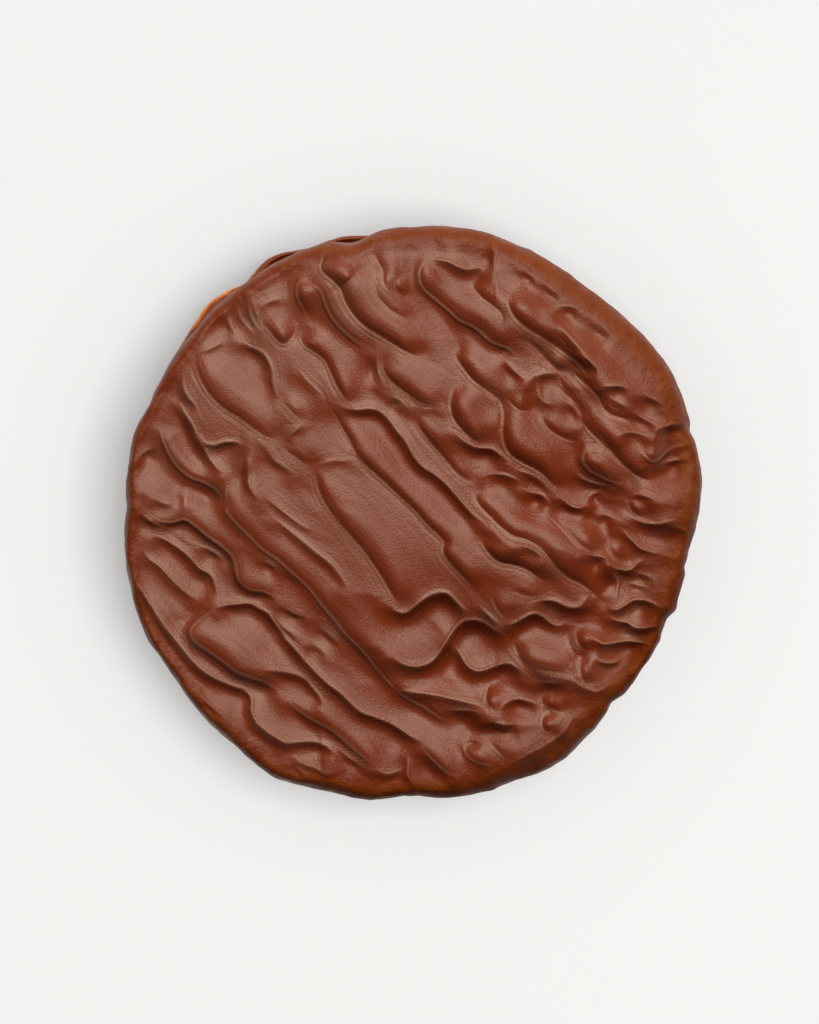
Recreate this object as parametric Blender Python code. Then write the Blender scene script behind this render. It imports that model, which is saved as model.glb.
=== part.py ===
"""A round sandwich cookie enrobed in milk chocolate, lying flat.

Two coated biscuit layers lie one on the other. The coating of the upper one was blown into
folds while it was soft, and they run from the upper left to the lower right. The lower layer
shows only as a thin strip past the upper left edge.

Lengths below are in millimetres, seen from above with +X right and +Y up, and MM turns them
into metres. The origin is the middle of the flat underside.
"""

import bmesh
import bpy
import numpy as np

MM = 0.001

# Outline of the coated disc
RADIUS = 34.65
CENTRE_PULL_X = -0.5
CENTRE_PULL_Y = -0.2
OVAL = 0.6
THREE_LOBES = 0.2
FOUR_LOBES = 0.2

# Heights
LOWER_TOP = 7.2
LAYER_GAP = 0.3
UPPER_TOP = 15.7
DOME_DROP = 1.0

# Rounding of the edges
RIM_HEIGHT = 4.8
RIM_WIDTH = 3.0
RIM_WIDER_TO_RIGHT = 0.5
RIM_TURN = np.pi / 9
LOWER_RIM = 1.6
BASE_EDGE = 1.2
ROUNDNESS = 2.0

# Rings of the grid that each stretch of the section takes, from the edge inwards
TUCK_RINGS = 2
WALL_RINGS = 2
RIM_RINGS = 5

# Folds of the coating
LINE_SPACING = 0.5
FOLD_REACH = 4.2
FOLD_TAPER = 2.6
FOLD_MARGIN = 8.0
FOLD_LIFT = 2.05
FOLD_EVENNESS = 0.75
FOLD_SPREAD = 1.2
FOLD_ROUNDING = 1.15

# Mesh density
UPPER_GRID = 124
UPPER_KEPT = 0.31
LOWER_GRID = 44

# Swellings and dents of the edge: azimuth in degrees, half width in degrees, height in mm
UPPER_EDGE = (
    (6, 6, 0.45),
    (16.5, 1.2, -0.3),
    (27, 6, 0.35),
    (51, 10, -0.65),
    (78, 10, 0.55),
    (103, 4, -0.9),
    (165, 5, 0.4),
    (181, 4, -0.35),
    (214, 7, -0.5),
    (241.5, 6, 0.85),
    (270, 6, -0.85),
    (300, 7, 0.7),
    (315.5, 1.2, -0.2),
    (317, 5, -0.4),
    (319, 1.5, 0.2),
    (336, 4, -0.35),
    (339.5, 1.5, 0.2),
    (351, 5, -0.4),
)
LOWER_EDGE = (
    (8, 5, 0.35),
    (51, 12, -0.5),
    (61, 7, 0.45),
    (106, 5, 0.75),
    (120, 7, 1.35),
    (134, 8, 1.35),
    (146, 5, 0.4),
    (214, 7, -0.5),
    (270, 6, -0.85),
    (317, 6, -0.4),
)
LOWER_INSET = 0.35

# Each fold is the rise to the left of its line, the rise to the right, how far each side
# spreads, and the points that the line runs through. Left is the side towards the upper right.
# FOLD_LIFT raises all of them, and FOLD_EVENNESS draws the low ones up towards the high ones.
FOLDS = (
    # upper left
    (0, -0.48, 0.72, 0.56, ((-21.3, 20.6), (-17.8, 18.4), (-16.6, 14), (-15.9, 13))),
    (
        0.4, 0, 0.96, 0.72,
        ((-26.6, 18.6), (-25.4, 15.2), (-24.2, 13.5), (-22.8, 12.2), (-17.8, 8.9), (-16, 8.4)),
    ),
    (0, -0.48, 0.72, 0.4, ((-28, 16.8), (-27.8, 15), (-25.8, 11.4))),
    # left
    (0, -0.77, 0.72, 0.64, ((-28.6, 13.4), (-24.5, 6.2), (-22.6, 4.4))),
    (
        0, -0.42, 0.72, 0.48,
        ((-25.9, 9.2), (-25.2, 8.2), (-24, 7.9), (-22.6, 8.3), (-21.2, 8.2), (-20, 7.4)),
    ),
    (0, -0.51, 0.72, 0.4, ((-19.9, 6.4), (-19.9, 3.2), (-18.3, 1))),
    (0, -0.34, 0.72, 0.56, ((-17.2, -0.5), (-10, -6.4), (-7.9, -9.8))),
    (
        0.3, -0.77, 0.56, 0.8,
        ((-30.7, 10.2), (-29.4, 6.7), (-28.3, 5.2), (-26.8, 4), (-23.9, 2.6), (-22.5, 0.4)),
    ),
    # long step from the left edge to the bottom
    (
        0.51, -0.34, 1.02, 0.68,
        ((-22.5, 4), (-22.6, 0.5), (-21.6, -1.2), (-18.4, -4.4), (-13.6, -8.3), (-8.4, -14.6),
         (-1.8, -21.7), (3.3, -24.9), (4.6, -25)),
    ),
    # lower left
    (
        0.3, -0.51, 0.96, 0.4,
        ((-31.6, -0.5), (-30.4, -1.2), (-27.6, -1), (-26.4, -1.7), (-21.8, -5.6), (-20.9, -8.5),
         (-19.7, -9.4), (-18.2, -9.6), (-16.3, -10.6)),
    ),
    (
        0, -0.68, 0.72, 0.72,
        ((-31.8, -2.8), (-30.3, -3.2), (-28.6, -4.2), (-24.5, -7.6), (-23.6, -10.6)),
    ),
    (0, -0.51, 0.72, 0.72, ((-32.7, -4.2), (-32, -5.5), (-27.4, -9.8), (-25.8, -10.9))),
    (
        0, -0.64, 0.72, 0.64,
        ((-33.4, -8.3), (-29.8, -14), (-27, -17.5), (-25.6, -18.9), (-23.8, -20), (-20.4, -21.4),
         (-19.6, -22.4), (-19.6, -23.8), (-19, -25.2), (-18, -26.1), (-15.4, -27.7),
         (-12.2, -27.6), (-10.8, -28), (-9.2, -29.7)),
    ),
    (
        0.3, -0.55, 0.96, 0.48,
        ((-23.8, -11.6), (-26.6, -13.6), (-26.9, -14.6), (-26.2, -15.7), (-21.4, -19.2),
         (-18.4, -20.3), (-16, -21.8)),
    ),
    (
        0, -0.77, 0.72, 0.72,
        ((-24.3, -11.9), (-23, -11.3), (-19.8, -11), (-17.6, -12.2), (-15.7, -14.9),
         (-11.9, -19.2), (-6.4, -24), (-3, -25.3), (1.4, -27.8)),
    ),
    (0, -0.51, 0.72, 0.56, ((-18.4, -19), (-14.8, -19.4), (-13.3, -20), (-11.3, -22.4), (-10.8, -24))),
    (0.26, -0.42, 0.64, 0.56, ((-15.6, -22.4), (-14, -23.8), (-9, -26.9), (-4.3, -30.8))),
    (0, -0.51, 0.72, 0.64, ((-14.9, -28.8), (-13.8, -30), (-10.6, -31.5), (-9.4, -31))),
    (0, -0.42, 0.72, 0.56, ((-1, -28.6), (-0.9, -31.6), (-0.2, -32.6), (1.2, -32.6))),
    # middle
    (
        0.51, 0, 0.56, 0.72,
        ((-10, 12.2), (-6.9, 6.7), (2.8, -2.8), (3.5, -3.7), (3.3, -4.7), (4, -6), (7.3, -9.6)),
    ),
    (0.51, 0, 0.64, 0.72, ((-13.9, 21.6), (-13.4, 20), (-10.8, 18), (-8.3, 13.4), (-7.2, 12.7))),
    (
        0, -0.68, 0.72, 0.56,
        ((-9.4, 12.8), (-8.2, 12.3), (-4.2, 11.9), (-3.2, 11), (0.9, 5.3), (3.6, 3.3), (7, -0.5),
         (8.4, -1.6)),
    ),
    (0.42, 0, 0.64, 0.72, ((-4, 18.4), (-3.8, 16.8), (-1.2, 14.2), (0.6, 13), (3.4, 12.4))),
    (0.42, 0, 0.56, 0.72, ((0.1, 11.8), (0.3, 10.4), (1.4, 8.8), (5.3, 4.3), (7, 3.2))),
    (0.42, 0, 0.72, 0.72, ((-12.5, 5.6), (-10.9, 1.2), (-5.2, -6), (-1.4, -11.6))),
    # upper right
    (1.12, 0, 0.9, 0.9, ((5, 15.6), (4.2, 12.7), (4.6, 11), (7.3, 8.3), (8.9, 7.9))),
    (0, -0.5, 0.9, 0.5, ((6.2, 14.9), (8.9, 13.5), (9.7, 12.6), (10, 9.9))),
    (
        1, 0, 0.9, 0.9,
        ((4.6, 19.8), (4.8, 18.5), (7, 15.5), (10, 13.2), (10.5, 11.8), (10.6, 8.2), (11.4, 6.8),
         (14.7, 4.8), (17.4, 2.2)),
    ),
    (0, -0.75, 0.9, 0.5, ((4.4, 9.7), (7.2, 7.7), (9, 7.5), (11.4, 5.8))),
    (
        0.88, 0, 0.9, 0.9,
        ((7.1, 3), (7.1, 1.8), (7.8, 0.5), (10.2, -1.9), (11.6, -2.9), (14.7, -4.2), (17, -6.9),
         (19.8, -8.7), (22.6, -11.2)),
    ),
    (0, -0.5, 0.9, 0.8, ((7.5, 3.8), (8.8, 4.4), (10.4, 4.4), (13.2, 3))),
    (0, -0.88, 0.9, 0.6, ((12.6, 2.9), (15, 2), (15.8, 1.2), (16.2, 0.2))),
    # lower right
    (
        0, -1.14, 0.9, 0.75,
        ((-3.4, -10.8), (-2.2, -11.9), (-1.1, -12.05), (2.4, -9.8), (3.8, -9.8), (5.8, -11.7),
         (7, -12.3)),
    ),
    (
        0, -1.14, 0.9, 0.75,
        ((-3, -17), (-1.8, -18), (-0.4, -18.5), (1, -18.4), (2.2, -17.8), (4.9, -13.9), (6, -13.1),
         (7.3, -13), (10.9, -14.9)),
    ),
    (0, -1.14, 0.9, 0.8, ((10, -13.4), (11.2, -13.5), (14.2, -12.2), (17.2, -13.7), (18.4, -13.2))),
    (0, -0.6, 0.9, 0.5, ((13.8, -10.9), (16.6, -10.7), (19.4, -11.5), (20.4, -10.8))),
    (1.08, 0, 0.8, 0.9, ((7.6, -3.2), (8.6, -4.8), (10, -6), (13.2, -6.9), (15.8, -8.7))),
    (0, -0.96, 0.9, 0.7, ((4.3, -15.4), (6.2, -18.4), (7.4, -19.1), (11.2, -18.2), (13.4, -19.9))),
    (0.6, 0, 0.7, 0.9, ((11.4, -15.2), (12.6, -17.6), (13.8, -18.6), (18.8, -19.9))),
    (0, -1.08, 0.9, 0.8, ((12.4, -17.4), (13.6, -18.5), (18.8, -20.2), (21.6, -21.6), (24.2, -20.2))),
    (0, -0.54, 0.9, 0.45, ((-2.6, -21.2), (3.2, -22.1), (8.8, -23.6))),
    (0, -0.6, 0.9, 0.6, ((3.2, -23.7), (7, -23.9), (8.8, -24.5))),
    (
        0.6, 0, 0.6, 0.9,
        ((9.2, -19.8), (8.6, -21.4), (8.5, -22.8), (10.4, -24.5), (12, -25.2), (13.6, -25.4)),
    ),
    (0, -0.72, 0.9, 0.5, ((9.9, -24.1), (11, -22.9), (12.2, -22.45), (14.6, -23), (15.6, -22.8))),
    (0, -0.84, 0.9, 0.6, ((8.2, -24.8), (9.6, -25.3), (12.6, -25.4))),
    (0.72, 0, 0.7, 0.9, ((16, -23.6), (15.2, -24.8), (15.3, -26), (16.4, -26.8))),
    (0.6, 0, 0.6, 0.9, ((14.9, -21.2), (15, -22.4), (15.8, -23.4), (18.6, -24.4))),
    (0.48, -0.36, 0.6, 0.6, ((6.4, -26.9), (5.8, -27.8), (6.1, -29), (7, -29.8), (10, -30.4))),
    (0.24, -0.84, 0.5, 0.7, ((0.4, -28), (4, -31.3), (5.6, -31.8))),
    (
        0, -0.96, 0.9, 1.1,
        ((10.2, -30.3), (12, -29.9), (15.2, -28.3), (18, -26.2), (18.9, -24.9), (20.4, -24.6)),
    ),
    # right, lower half
    (0, -0.98, 0.9, 0.5, ((17.2, 2), (19, 0.5), (20, 0.5), (20.7, 1.1))),
    (0.59, 0, 0.9, 0.9, ((16.2, -0.4), (19.6, -4), (21, -4.8), (22.4, -5))),
    (0, -0.98, 0.9, 0.6, ((23, -6.2), (24, -6.8), (25.9, -6.9), (27.6, -5.6))),
    (0, -0.78, 0.9, 0.9, ((30.4, -1.6), (32.6, -2.6), (33.2, -3.6))),
    (0, -0.78, 0.9, 0.6, ((24.2, -1.8), (27, -4.4), (29.6, -5.1))),
    (0, -1.04, 0.9, 0.8, ((25.2, -0.2), (27.8, -1.4), (29.2, -1.5), (31.6, -1))),
    (0, -0.91, 0.9, 1.1, ((23.4, -7), (24.2, -8.2), (24, -10.8))),
    (0, -0.78, 0.9, 0.5, ((22.6, -11.4), (24, -11.8), (26.2, -10.6), (27.4, -10.6), (29.8, -11.9))),
    (0, -1.04, 0.9, 0.6, ((22.8, -12.4), (26.4, -13.9), (28, -13.9), (30.4, -13.1))),
    (0, -1.04, 0.9, 0.6, ((20.8, -14.6), (22.4, -15.8), (25.6, -15.5), (28.8, -16))),
    (0, -1.04, 0.9, 1.2, ((17, -11.3), (19.6, -11.4), (21.2, -9.8))),
    # right, upper half
    (0.68, 0, 0.8, 0.9, ((15.4, 12.6), (15, 11.2), (15.2, 10), (17.2, 8.4), (18.8, 8))),
    (0.68, -0.54, 0.9, 0.5, ((21, 8.4), (20.2, 7.3), (20, 6.1), (20.8, 4.9), (23.8, 3.4), (25.4, 3.2))),
    (1.01, 0, 1.1, 0.9, ((21.2, 10.2), (25.2, 5.2), (27.6, 3.7), (29, 3.6))),
    (0, -0.47, 0.9, 0.5, ((19, 5.4), (19.4, 4.4), (20.4, 3.7), (24, 2.9))),
    (0.68, -0.41, 0.9, 0.6, ((26.4, 8), (27.3, 6.7), (28.4, 6), (29.3, 6.3), (31, 7.7), (32.4, 8.1))),
    (0, -1.35, 0.9, 0.8, ((28.2, 9.4), (30.8, 10.4), (33.2, 10.4))),
    (0.81, 0, 0.8, 0.9, ((18, 17.6), (21.8, 13.7), (22.4, 12.4), (23.4, 11.5), (26.6, 10.2))),
    (0, -0.81, 0.9, 0.7, ((19.6, 19), (21.7, 16.8), (21.6, 15.8))),
    (0.68, 0, 0.9, 0.9, ((17, 14.6), (18.6, 13.4), (20.8, 9.6), (22.9, 7.4))),
    (0, -0.81, 0.9, 0.5, ((17.8, 12.4), (18.9, 11.5), (20.3, 9.5))),
    # top right
    (
        1.12, -0.38, 1.2, 0.45,
        ((1.8, 30.6), (0.8, 29.6), (0.4, 28.4), (0.7, 27), (5.2, 22.9), (7.8, 21.4), (8.7, 20.5),
         (11.2, 19.4), (12.4, 18.2)),
    ),
    (0, -1.12, 0.9, 0.9, ((1.2, 30.2), (4, 29.8), (6.4, 28.9), (9, 29.1))),
    (0.62, 0, 0.6, 0.9, ((6.8, 28), (7, 26.7), (10.2, 23.7), (10.4, 22.8), (9.6, 22.1))),
    (
        1, 0, 0.9, 0.9,
        ((10.7, 26.2), (11.9, 23.1), (13.2, 21.9), (19.2, 17.9), (20.6, 16.2), (20.2, 15.6)),
    ),
    (0.62, 0, 0.6, 0.9, ((11.6, 20.4), (13.2, 20.3), (16.4, 17.4), (18.6, 16.4))),
    (0, -0.75, 0.9, 0.8, ((16.4, 24.4), (18.8, 24.4), (20, 24))),
    (0, -0.88, 0.9, 0.7, ((16.8, 22.6), (20.4, 18.6))),
    # top
    (
        1.03, 0, 1.2, 0.9,
        ((-10.6, 31.4), (-11.3, 29.2), (-10.8, 28.3), (-8.9, 26.5), (-7, 23), (-2.6, 19.9),
         (0.8, 18.3)),
    ),
    (0.57, 0, 0.9, 0.9, ((-5.4, 31.6), (-3.9, 28.7), (-3.9, 27.6), (-3.4, 26.5), (-2.4, 25.6))),
    (0.46, -0.23, 0.7, 0.7, ((-12.6, 28), (-13.9, 27.5), (-14.2, 26), (-12.7, 22.6))),
    (0.52, 0, 0.7, 0.9, ((-18.8, 23.2), (-16.6, 20.5), (-15.6, 20), (-14.8, 20.6), (-13.7, 22.7))),
)


def clear_scene():
    for item in list(bpy.data.objects):
        bpy.data.objects.remove(item)


def coating(name, red, green, blue, roughness):
    """A Principled material in linear colour."""
    material = bpy.data.materials.new(name)
    material.use_nodes = True
    shader = material.node_tree.nodes["Principled BSDF"]
    shader.inputs["Base Color"].default_value = (red, green, blue, 1)
    shader.inputs["Roughness"].default_value = roughness
    shader.inputs["Metallic"].default_value = 0
    return material


def smooth_step(value):
    value = np.clip(value, 0, 1)
    return value * value * (3 - 2 * value)


def smooth_line(points):
    """Points at about LINE_SPACING along a Catmull-Rom curve through the given ones."""
    through = np.array(points, float)
    first = 2 * through[0] - through[1]
    last = 2 * through[-1] - through[-2]
    guide = np.vstack([first, through, last])
    stretches = []
    for before, start, end, after in zip(guide, guide[1:], guide[2:], guide[3:]):
        count = max(2, int(np.ceil(np.linalg.norm(end - start) / LINE_SPACING)))
        t = np.arange(count)[:, None] / count
        bend = (2 * before - 5 * start + 4 * end - after) * t**2
        twist = (3 * start - before - 3 * end + after) * t**3
        stretches.append((2 * start + (end - before) * t + bend + twist) / 2)
    stretches.append(through[-1:])
    return np.vstack(stretches)


def fold_height(x, y, rise_left, rise_right, width_left, width_right, points):
    """Height that one fold adds at x, y. It is steep beside its line and fades with distance.

    Each short piece of the line votes for the distance and the side, and near pieces count
    most, so that the fold turns with its line and has no seam inside a bend."""
    line = smooth_line(points)
    low = line.min(axis=0) - FOLD_MARGIN
    high = line.max(axis=0) + FOLD_MARGIN
    near = (x > low[0]) & (x < high[0]) & (y > low[1]) & (y < high[1])
    x_near = x[near]
    y_near = y[near]
    pieces = np.diff(line, axis=0)
    lengths = np.linalg.norm(pieces, axis=1)
    middles = (line[:-1] + line[1:]) / 2
    along = np.cumsum(lengths) - lengths / 2
    whole = lengths.sum()
    taper = min(FOLD_TAPER, whole / 2.2)
    votes = np.zeros_like(x_near)
    side_votes = np.zeros_like(x_near)
    size_votes = np.zeros_like(x_near)
    for piece, length, middle, place in zip(pieces, lengths, middles, along):
        away_x = x_near - middle[0]
        away_y = y_near - middle[1]
        vote = length / (away_x**2 + away_y**2 + 0.01) ** 2
        votes += vote
        side_votes += vote * (piece[0] * away_y - piece[1] * away_x) / length
        size_votes += vote * smooth_step(min(place, whole - place) / taper)
    side = side_votes / votes
    distance = (votes / (np.pi / 2)) ** (-1 / 3)
    rise = np.where(side > 0, rise_left, rise_right)
    rise = np.sign(rise) * np.abs(rise) ** FOLD_EVENNESS * FOLD_LIFT
    width = np.where(side > 0, width_left, width_right) * FOLD_SPREAD
    steep = 1 - np.exp(-((np.abs(side) / width) ** FOLD_ROUNDING))
    fade = np.exp(-((distance / FOLD_REACH) ** 1.5))
    height = np.zeros_like(x)
    height[near] = rise * steep * fade * size_votes / votes
    return height


def outline(azimuth, swellings):
    """Radius of the edge at each azimuth, in mm."""
    radius = (
        RADIUS
        + CENTRE_PULL_X * np.cos(azimuth)
        + CENTRE_PULL_Y * np.sin(azimuth)
        + OVAL * np.sin(2 * azimuth)
        + THREE_LOBES * np.sin(3 * azimuth)
        + FOUR_LOBES * np.sin(4 * azimuth)
    )
    degrees = np.degrees(azimuth)
    for centre, half_width, height in swellings:
        offset = (degrees - centre + 180) % 360 - 180
        radius += height * np.exp(-((offset / half_width) ** 2))
    return radius


def disc_place(x, y):
    """Ring, from 0 to 1, and azimuth of a square grid's points pulled into a disc."""
    wide = np.abs(x) > np.abs(y)
    ring = np.where(wide, x, y)
    ratio = np.where(wide, y, x) / np.where(ring == 0, 1, ring)
    angle = np.where(wide, ratio * np.pi / 4, np.pi / 2 - ratio * np.pi / 4)
    return np.abs(ring), np.arctan2(ring * np.sin(angle), ring * np.cos(angle))


def layer(name, segments, floor, top, rim_height, rim_width, inset, swellings, folds, dome):
    """One coated layer: a grid shaped into a domed disc with a rounded rim and a flat base."""
    mesh = bmesh.new()
    bmesh.ops.create_grid(mesh, x_segments=segments, y_segments=segments, size=1)
    border = [edge for edge in mesh.edges if edge.is_boundary]
    flat = np.array([vertex.co for vertex in mesh.verts])
    ring, azimuth = disc_place(flat[:, 0], flat[:, 1])
    ring *= segments / 2

    tuck_start = segments / 2 - TUCK_RINGS
    wall_start = tuck_start - WALL_RINGS
    rim_start = wall_start - RIM_RINGS
    inward = np.clip(ring / rim_start, 0, 1)
    turn = np.clip((ring - rim_start) / RIM_RINGS, 0, 1) * np.pi / 2
    down = np.clip((ring - wall_start) / WALL_RINGS, 0, 1)
    tuck = np.clip((ring - tuck_start) / TUCK_RINGS, 0, 1) * np.pi / 2

    edge = outline(azimuth, swellings) - inset
    width = rim_width * (1 + RIM_WIDER_TO_RIGHT * np.cos(azimuth + RIM_TURN))
    power = 2 / ROUNDNESS
    radius = (edge - width) * inward + width * np.sin(turn) ** power
    radius -= BASE_EDGE * (1 - np.cos(tuck))
    x = radius * np.cos(azimuth)
    y = radius * np.sin(azimuth)

    wall = top - rim_height - floor - BASE_EDGE
    height = top - rim_height * (1 - np.clip(np.cos(turn), 0, 1) ** power)
    height -= wall * down + BASE_EDGE * np.sin(tuck)
    on_top = 1 - smooth_step(turn / np.radians(75))
    height -= dome * (radius / RADIUS) ** 3 * on_top
    relief = np.zeros_like(x)
    for fold in folds:
        relief += fold_height(x, y, *fold)
    height += relief * on_top

    for vertex, place in zip(mesh.verts, np.stack([x, y, height], axis=1)):
        vertex.co = place * MM
    bmesh.ops.edgeloop_fill(mesh, edges=border)
    bmesh.ops.recalc_face_normals(mesh, faces=mesh.faces)
    data = bpy.data.meshes.new(name)
    mesh.to_mesh(data)
    mesh.free()
    data.shade_smooth()
    data.set_sharp_from_angle(angle=np.radians(60))
    made = bpy.data.objects.new(name, data)
    bpy.context.collection.objects.link(made)
    return made


def upper_layer():
    """The blown top layer, thinned to a few thousand triangles that follow its folds."""
    made = layer(
        "upper_layer",
        UPPER_GRID,
        LOWER_TOP + LAYER_GAP,
        UPPER_TOP,
        RIM_HEIGHT,
        RIM_WIDTH,
        0,
        UPPER_EDGE,
        FOLDS,
        DOME_DROP,
    )
    made.data.materials.append(coating("milk chocolate, upper coat", 0.24, 0.06, 0.015, 0.38))
    thin = made.modifiers.new("thin", "DECIMATE")
    thin.ratio = UPPER_KEPT
    return made


def lower_layer():
    """The plain layer below, a little wider than the upper one at the upper left."""
    made = layer(
        "lower_layer",
        LOWER_GRID,
        0,
        LOWER_TOP,
        LOWER_RIM,
        LOWER_RIM,
        LOWER_INSET,
        LOWER_EDGE,
        (),
        0,
    )
    made.data.materials.append(coating("milk chocolate, lower coat", 0.30, 0.085, 0.025, 0.42))
    return made


def centre(layers):
    """Moves the layers together so that the middle of their box is at X = Y = 0."""
    corners = np.array([vertex.co for made in layers for vertex in made.data.vertices])
    middle = (corners.min(axis=0) + corners.max(axis=0)) / 2
    for made in layers:
        made.location = (-middle[0], -middle[1], 0)


clear_scene()
centre([upper_layer(), lower_layer()])
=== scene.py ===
"""A round sandwich cookie enrobed in milk chocolate, seen from straight above.

Lengths are in millimetres, and MM turns them into metres. +X is to the right and +Y is up in
the view from above. Azimuths are in degrees from +X towards +Y.
"""

import math

import bmesh
import bpy
import numpy as np
from mathutils import Euler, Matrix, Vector, noise


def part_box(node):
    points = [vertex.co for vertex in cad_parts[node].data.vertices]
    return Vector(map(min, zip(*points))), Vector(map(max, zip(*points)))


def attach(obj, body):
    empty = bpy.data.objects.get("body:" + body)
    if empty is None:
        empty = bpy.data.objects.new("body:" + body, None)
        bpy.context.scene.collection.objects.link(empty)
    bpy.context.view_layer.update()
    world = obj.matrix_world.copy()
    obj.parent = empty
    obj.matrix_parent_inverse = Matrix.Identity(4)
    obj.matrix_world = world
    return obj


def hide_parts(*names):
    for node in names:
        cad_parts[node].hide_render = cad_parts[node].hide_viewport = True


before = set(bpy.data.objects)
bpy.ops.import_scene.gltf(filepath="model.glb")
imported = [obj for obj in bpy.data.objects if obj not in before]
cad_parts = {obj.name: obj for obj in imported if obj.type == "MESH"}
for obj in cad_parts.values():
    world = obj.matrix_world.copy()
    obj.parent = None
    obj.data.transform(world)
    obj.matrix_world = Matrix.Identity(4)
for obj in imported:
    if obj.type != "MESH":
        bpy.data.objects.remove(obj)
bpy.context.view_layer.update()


# ---------------------------------------------------------------------------------------------
# Upper layer: a baked biscuit under a coat of milk chocolate. An air knife blew the coat while
# it was soft, and it set in folds that run from the upper left to the lower right. Their steep
# faces look to the lower left, and their backs fall gently to the upper right.
# ---------------------------------------------------------------------------------------------

MM = 0.001

# The mesh is a grid pulled into a disc of rings. From the outside these are a tuck under the
# bottom edge, the wall and the rounded rim, and the rest is the top.
UPPER_SEGMENTS = 300
TUCK_RINGS = 5
WALL_RINGS = 8
RIM_RINGS = 15

# The top is a low dome, and the rim is widest at the right, RIM_TURN below +X. What lies on the
# top fades out over the first TOP_TURN degrees of the rim's curve.
UPPER_TOP = 15.6
DOME_DROP = 1.0
RIM_HEIGHT = 4.8
RIM_WIDTH = 3.0
RIM_WIDER_TO_RIGHT = 0.5
RIM_TURN = 20
TOP_TURN = 75
BASE_EDGE = 1.2

# The top bulges near the rim, and further in at the upper right
BULGE_HEIGHT = 0.3
BULGE_INSIDE = 4.6
BULGE_SHIFT = 1.4
BULGE_AZIMUTH = 225
BULGE_WIDTH = 2.2

# Stretches where the rim is narrower: azimuth, half width in degrees, extra width
RIM_SPREADS = ((270, 10, -0.5), (330, 18, -1.8))

# The outline is a circle pulled a little off centre, with slow lobes: how many and how high
RADIUS = 34.5
CENTRE_PULL = (-0.5, -0.2)
LOBES = ((2, 0.6), (3, 0.2), (4, 0.2))

# Swellings and dents of the edge: azimuth, half width in degrees, height
UPPER_EDGE = (
    (6, 6, 0.45),
    (16.5, 1.2, -0.3),
    (27, 6, 0.35),
    (51, 10, -0.65),
    (78, 10, 0.55),
    (103, 4, -0.9),
    (165, 5, 0.4),
    (181, 4, -0.35),
    (214, 7, -0.5),
    (241.5, 6, 0.85),
    (270, 6, -0.85),
    (285.5, 1, 0.15),
    (300, 7, 0.7),
    (309.5, 1.2, 0.15),
    (315.5, 1.2, -0.2),
    (317, 5, -0.4),
    (319, 1.5, 0.2),
    (332.5, 1, 0.15),
    (336, 4, -0.35),
    (337, 1.2, -0.15),
    (339.5, 1.5, 0.2),
    (348.5, 0.8, -0.15),
    (351, 5, -0.4),
)

# What the folds share: the spacing of the points along a line, how far round it points are
# moved, how far a fold is felt and how it fades, and how it runs out at its ends
LINE_SPACING = 0.45
LINE_SOFTNESS = 0.01
FOLD_MARGIN = 8.0
FOLD_REACH = 4.2
FOLD_FADING = 1.5
FOLD_TAPER = 2.6
SHORT_FOLD_TAPERS = 2.2

# Their rises are lifted, low ones more than high ones, and their widths drawn out and rounded
FOLD_LIFT = 2.05
FOLD_EVENNESS = 0.75
FOLD_SPREAD = 1.2
FOLD_ROUNDING = 1.15

# On the side that stays level, the surface turns a little beside the line, as a thin lip
LIP_SHARE = 0.07
LIP_WIDTH = 0.35

# The material draws the lines. A line's mark fades from MARK_START away from it, and where the
# next line is almost as near. It lies a little towards the side that rises.
MARK_START = 0.6
MARK_FADE = 0.7
MARK_GAP = 0.45
LINE_OFFSET = 0.1

# A pale film beside the lines, most on the side that stays level, is partly cocoa butter bloom
# and partly painted sheen, and painted sheen lies on the top as a haze. Both grow towards the
# left as painted light, and a patch right of the middle has little of them, as painted shade.
BLOOM_AND_SHEEN_REACH = 1.5
BLOOM_AND_SHEEN_ON_SLOPE = 0.25
PAINTED_SHEEN_AZIMUTH = 150
PAINTED_SHEEN_SLOPE = 0.55
PAINTED_SHEEN_HAZE = 0.5
SHADED_PATCH_PLACE = (14.5, 5.0)
SHADED_PATCH_REACH = 9.5
SHADED_PATCH_SHARE = 0.75

# Where the shoulder inside the rim is pale too, partly bloom and partly a painted highlight:
# azimuth, half width in degrees, share
SHOULDER_BLOOM_AND_SHEEN = ((345, 42, 0.6), (50, 22, 0.35))
SHOULDER_INSIDE = 3.9
SHOULDER_WIDTH = 1.5

# The rim's tone covers this share of its width, and fades over one more width. Where the rim is
# rough and matte and has painted shade, most at the bottom and lower right: azimuth, half width in
# degrees, share.
RIM_TONE_START = 0.35
MATTE_AND_SHADE_STRETCHES = ((268, 24, 0.5), (333, 24, 0.5))
MATTE_AND_SHADE_ELSEWHERE = 0.5

# Low ripples between the folds, drawn out along the way the air blew, and lumps from
# LUMPS_START of the way out. Each has finer ones on it, of FINE_SHARE its height.
BLOW_AZIMUTH = -48
RIPPLE_HEIGHT = 0.1
RIPPLE_LENGTH = 9.0
RIPPLE_WIDTH = 2.4
RIPPLE_WANDER = 2.0
RIPPLE_WANDER_SIZE = 11.0
RIPPLE_LAYER = 4.7
LUMP_HEIGHT = 0.22
LUMP_SIZE = 3.5
LUMPS_START = 0.8
LUMPS_GROW = 0.1
FINE_SHARE = 0.4
FINER_RIPPLES = 2.3
FINER_LUMPS = 2.6

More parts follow.
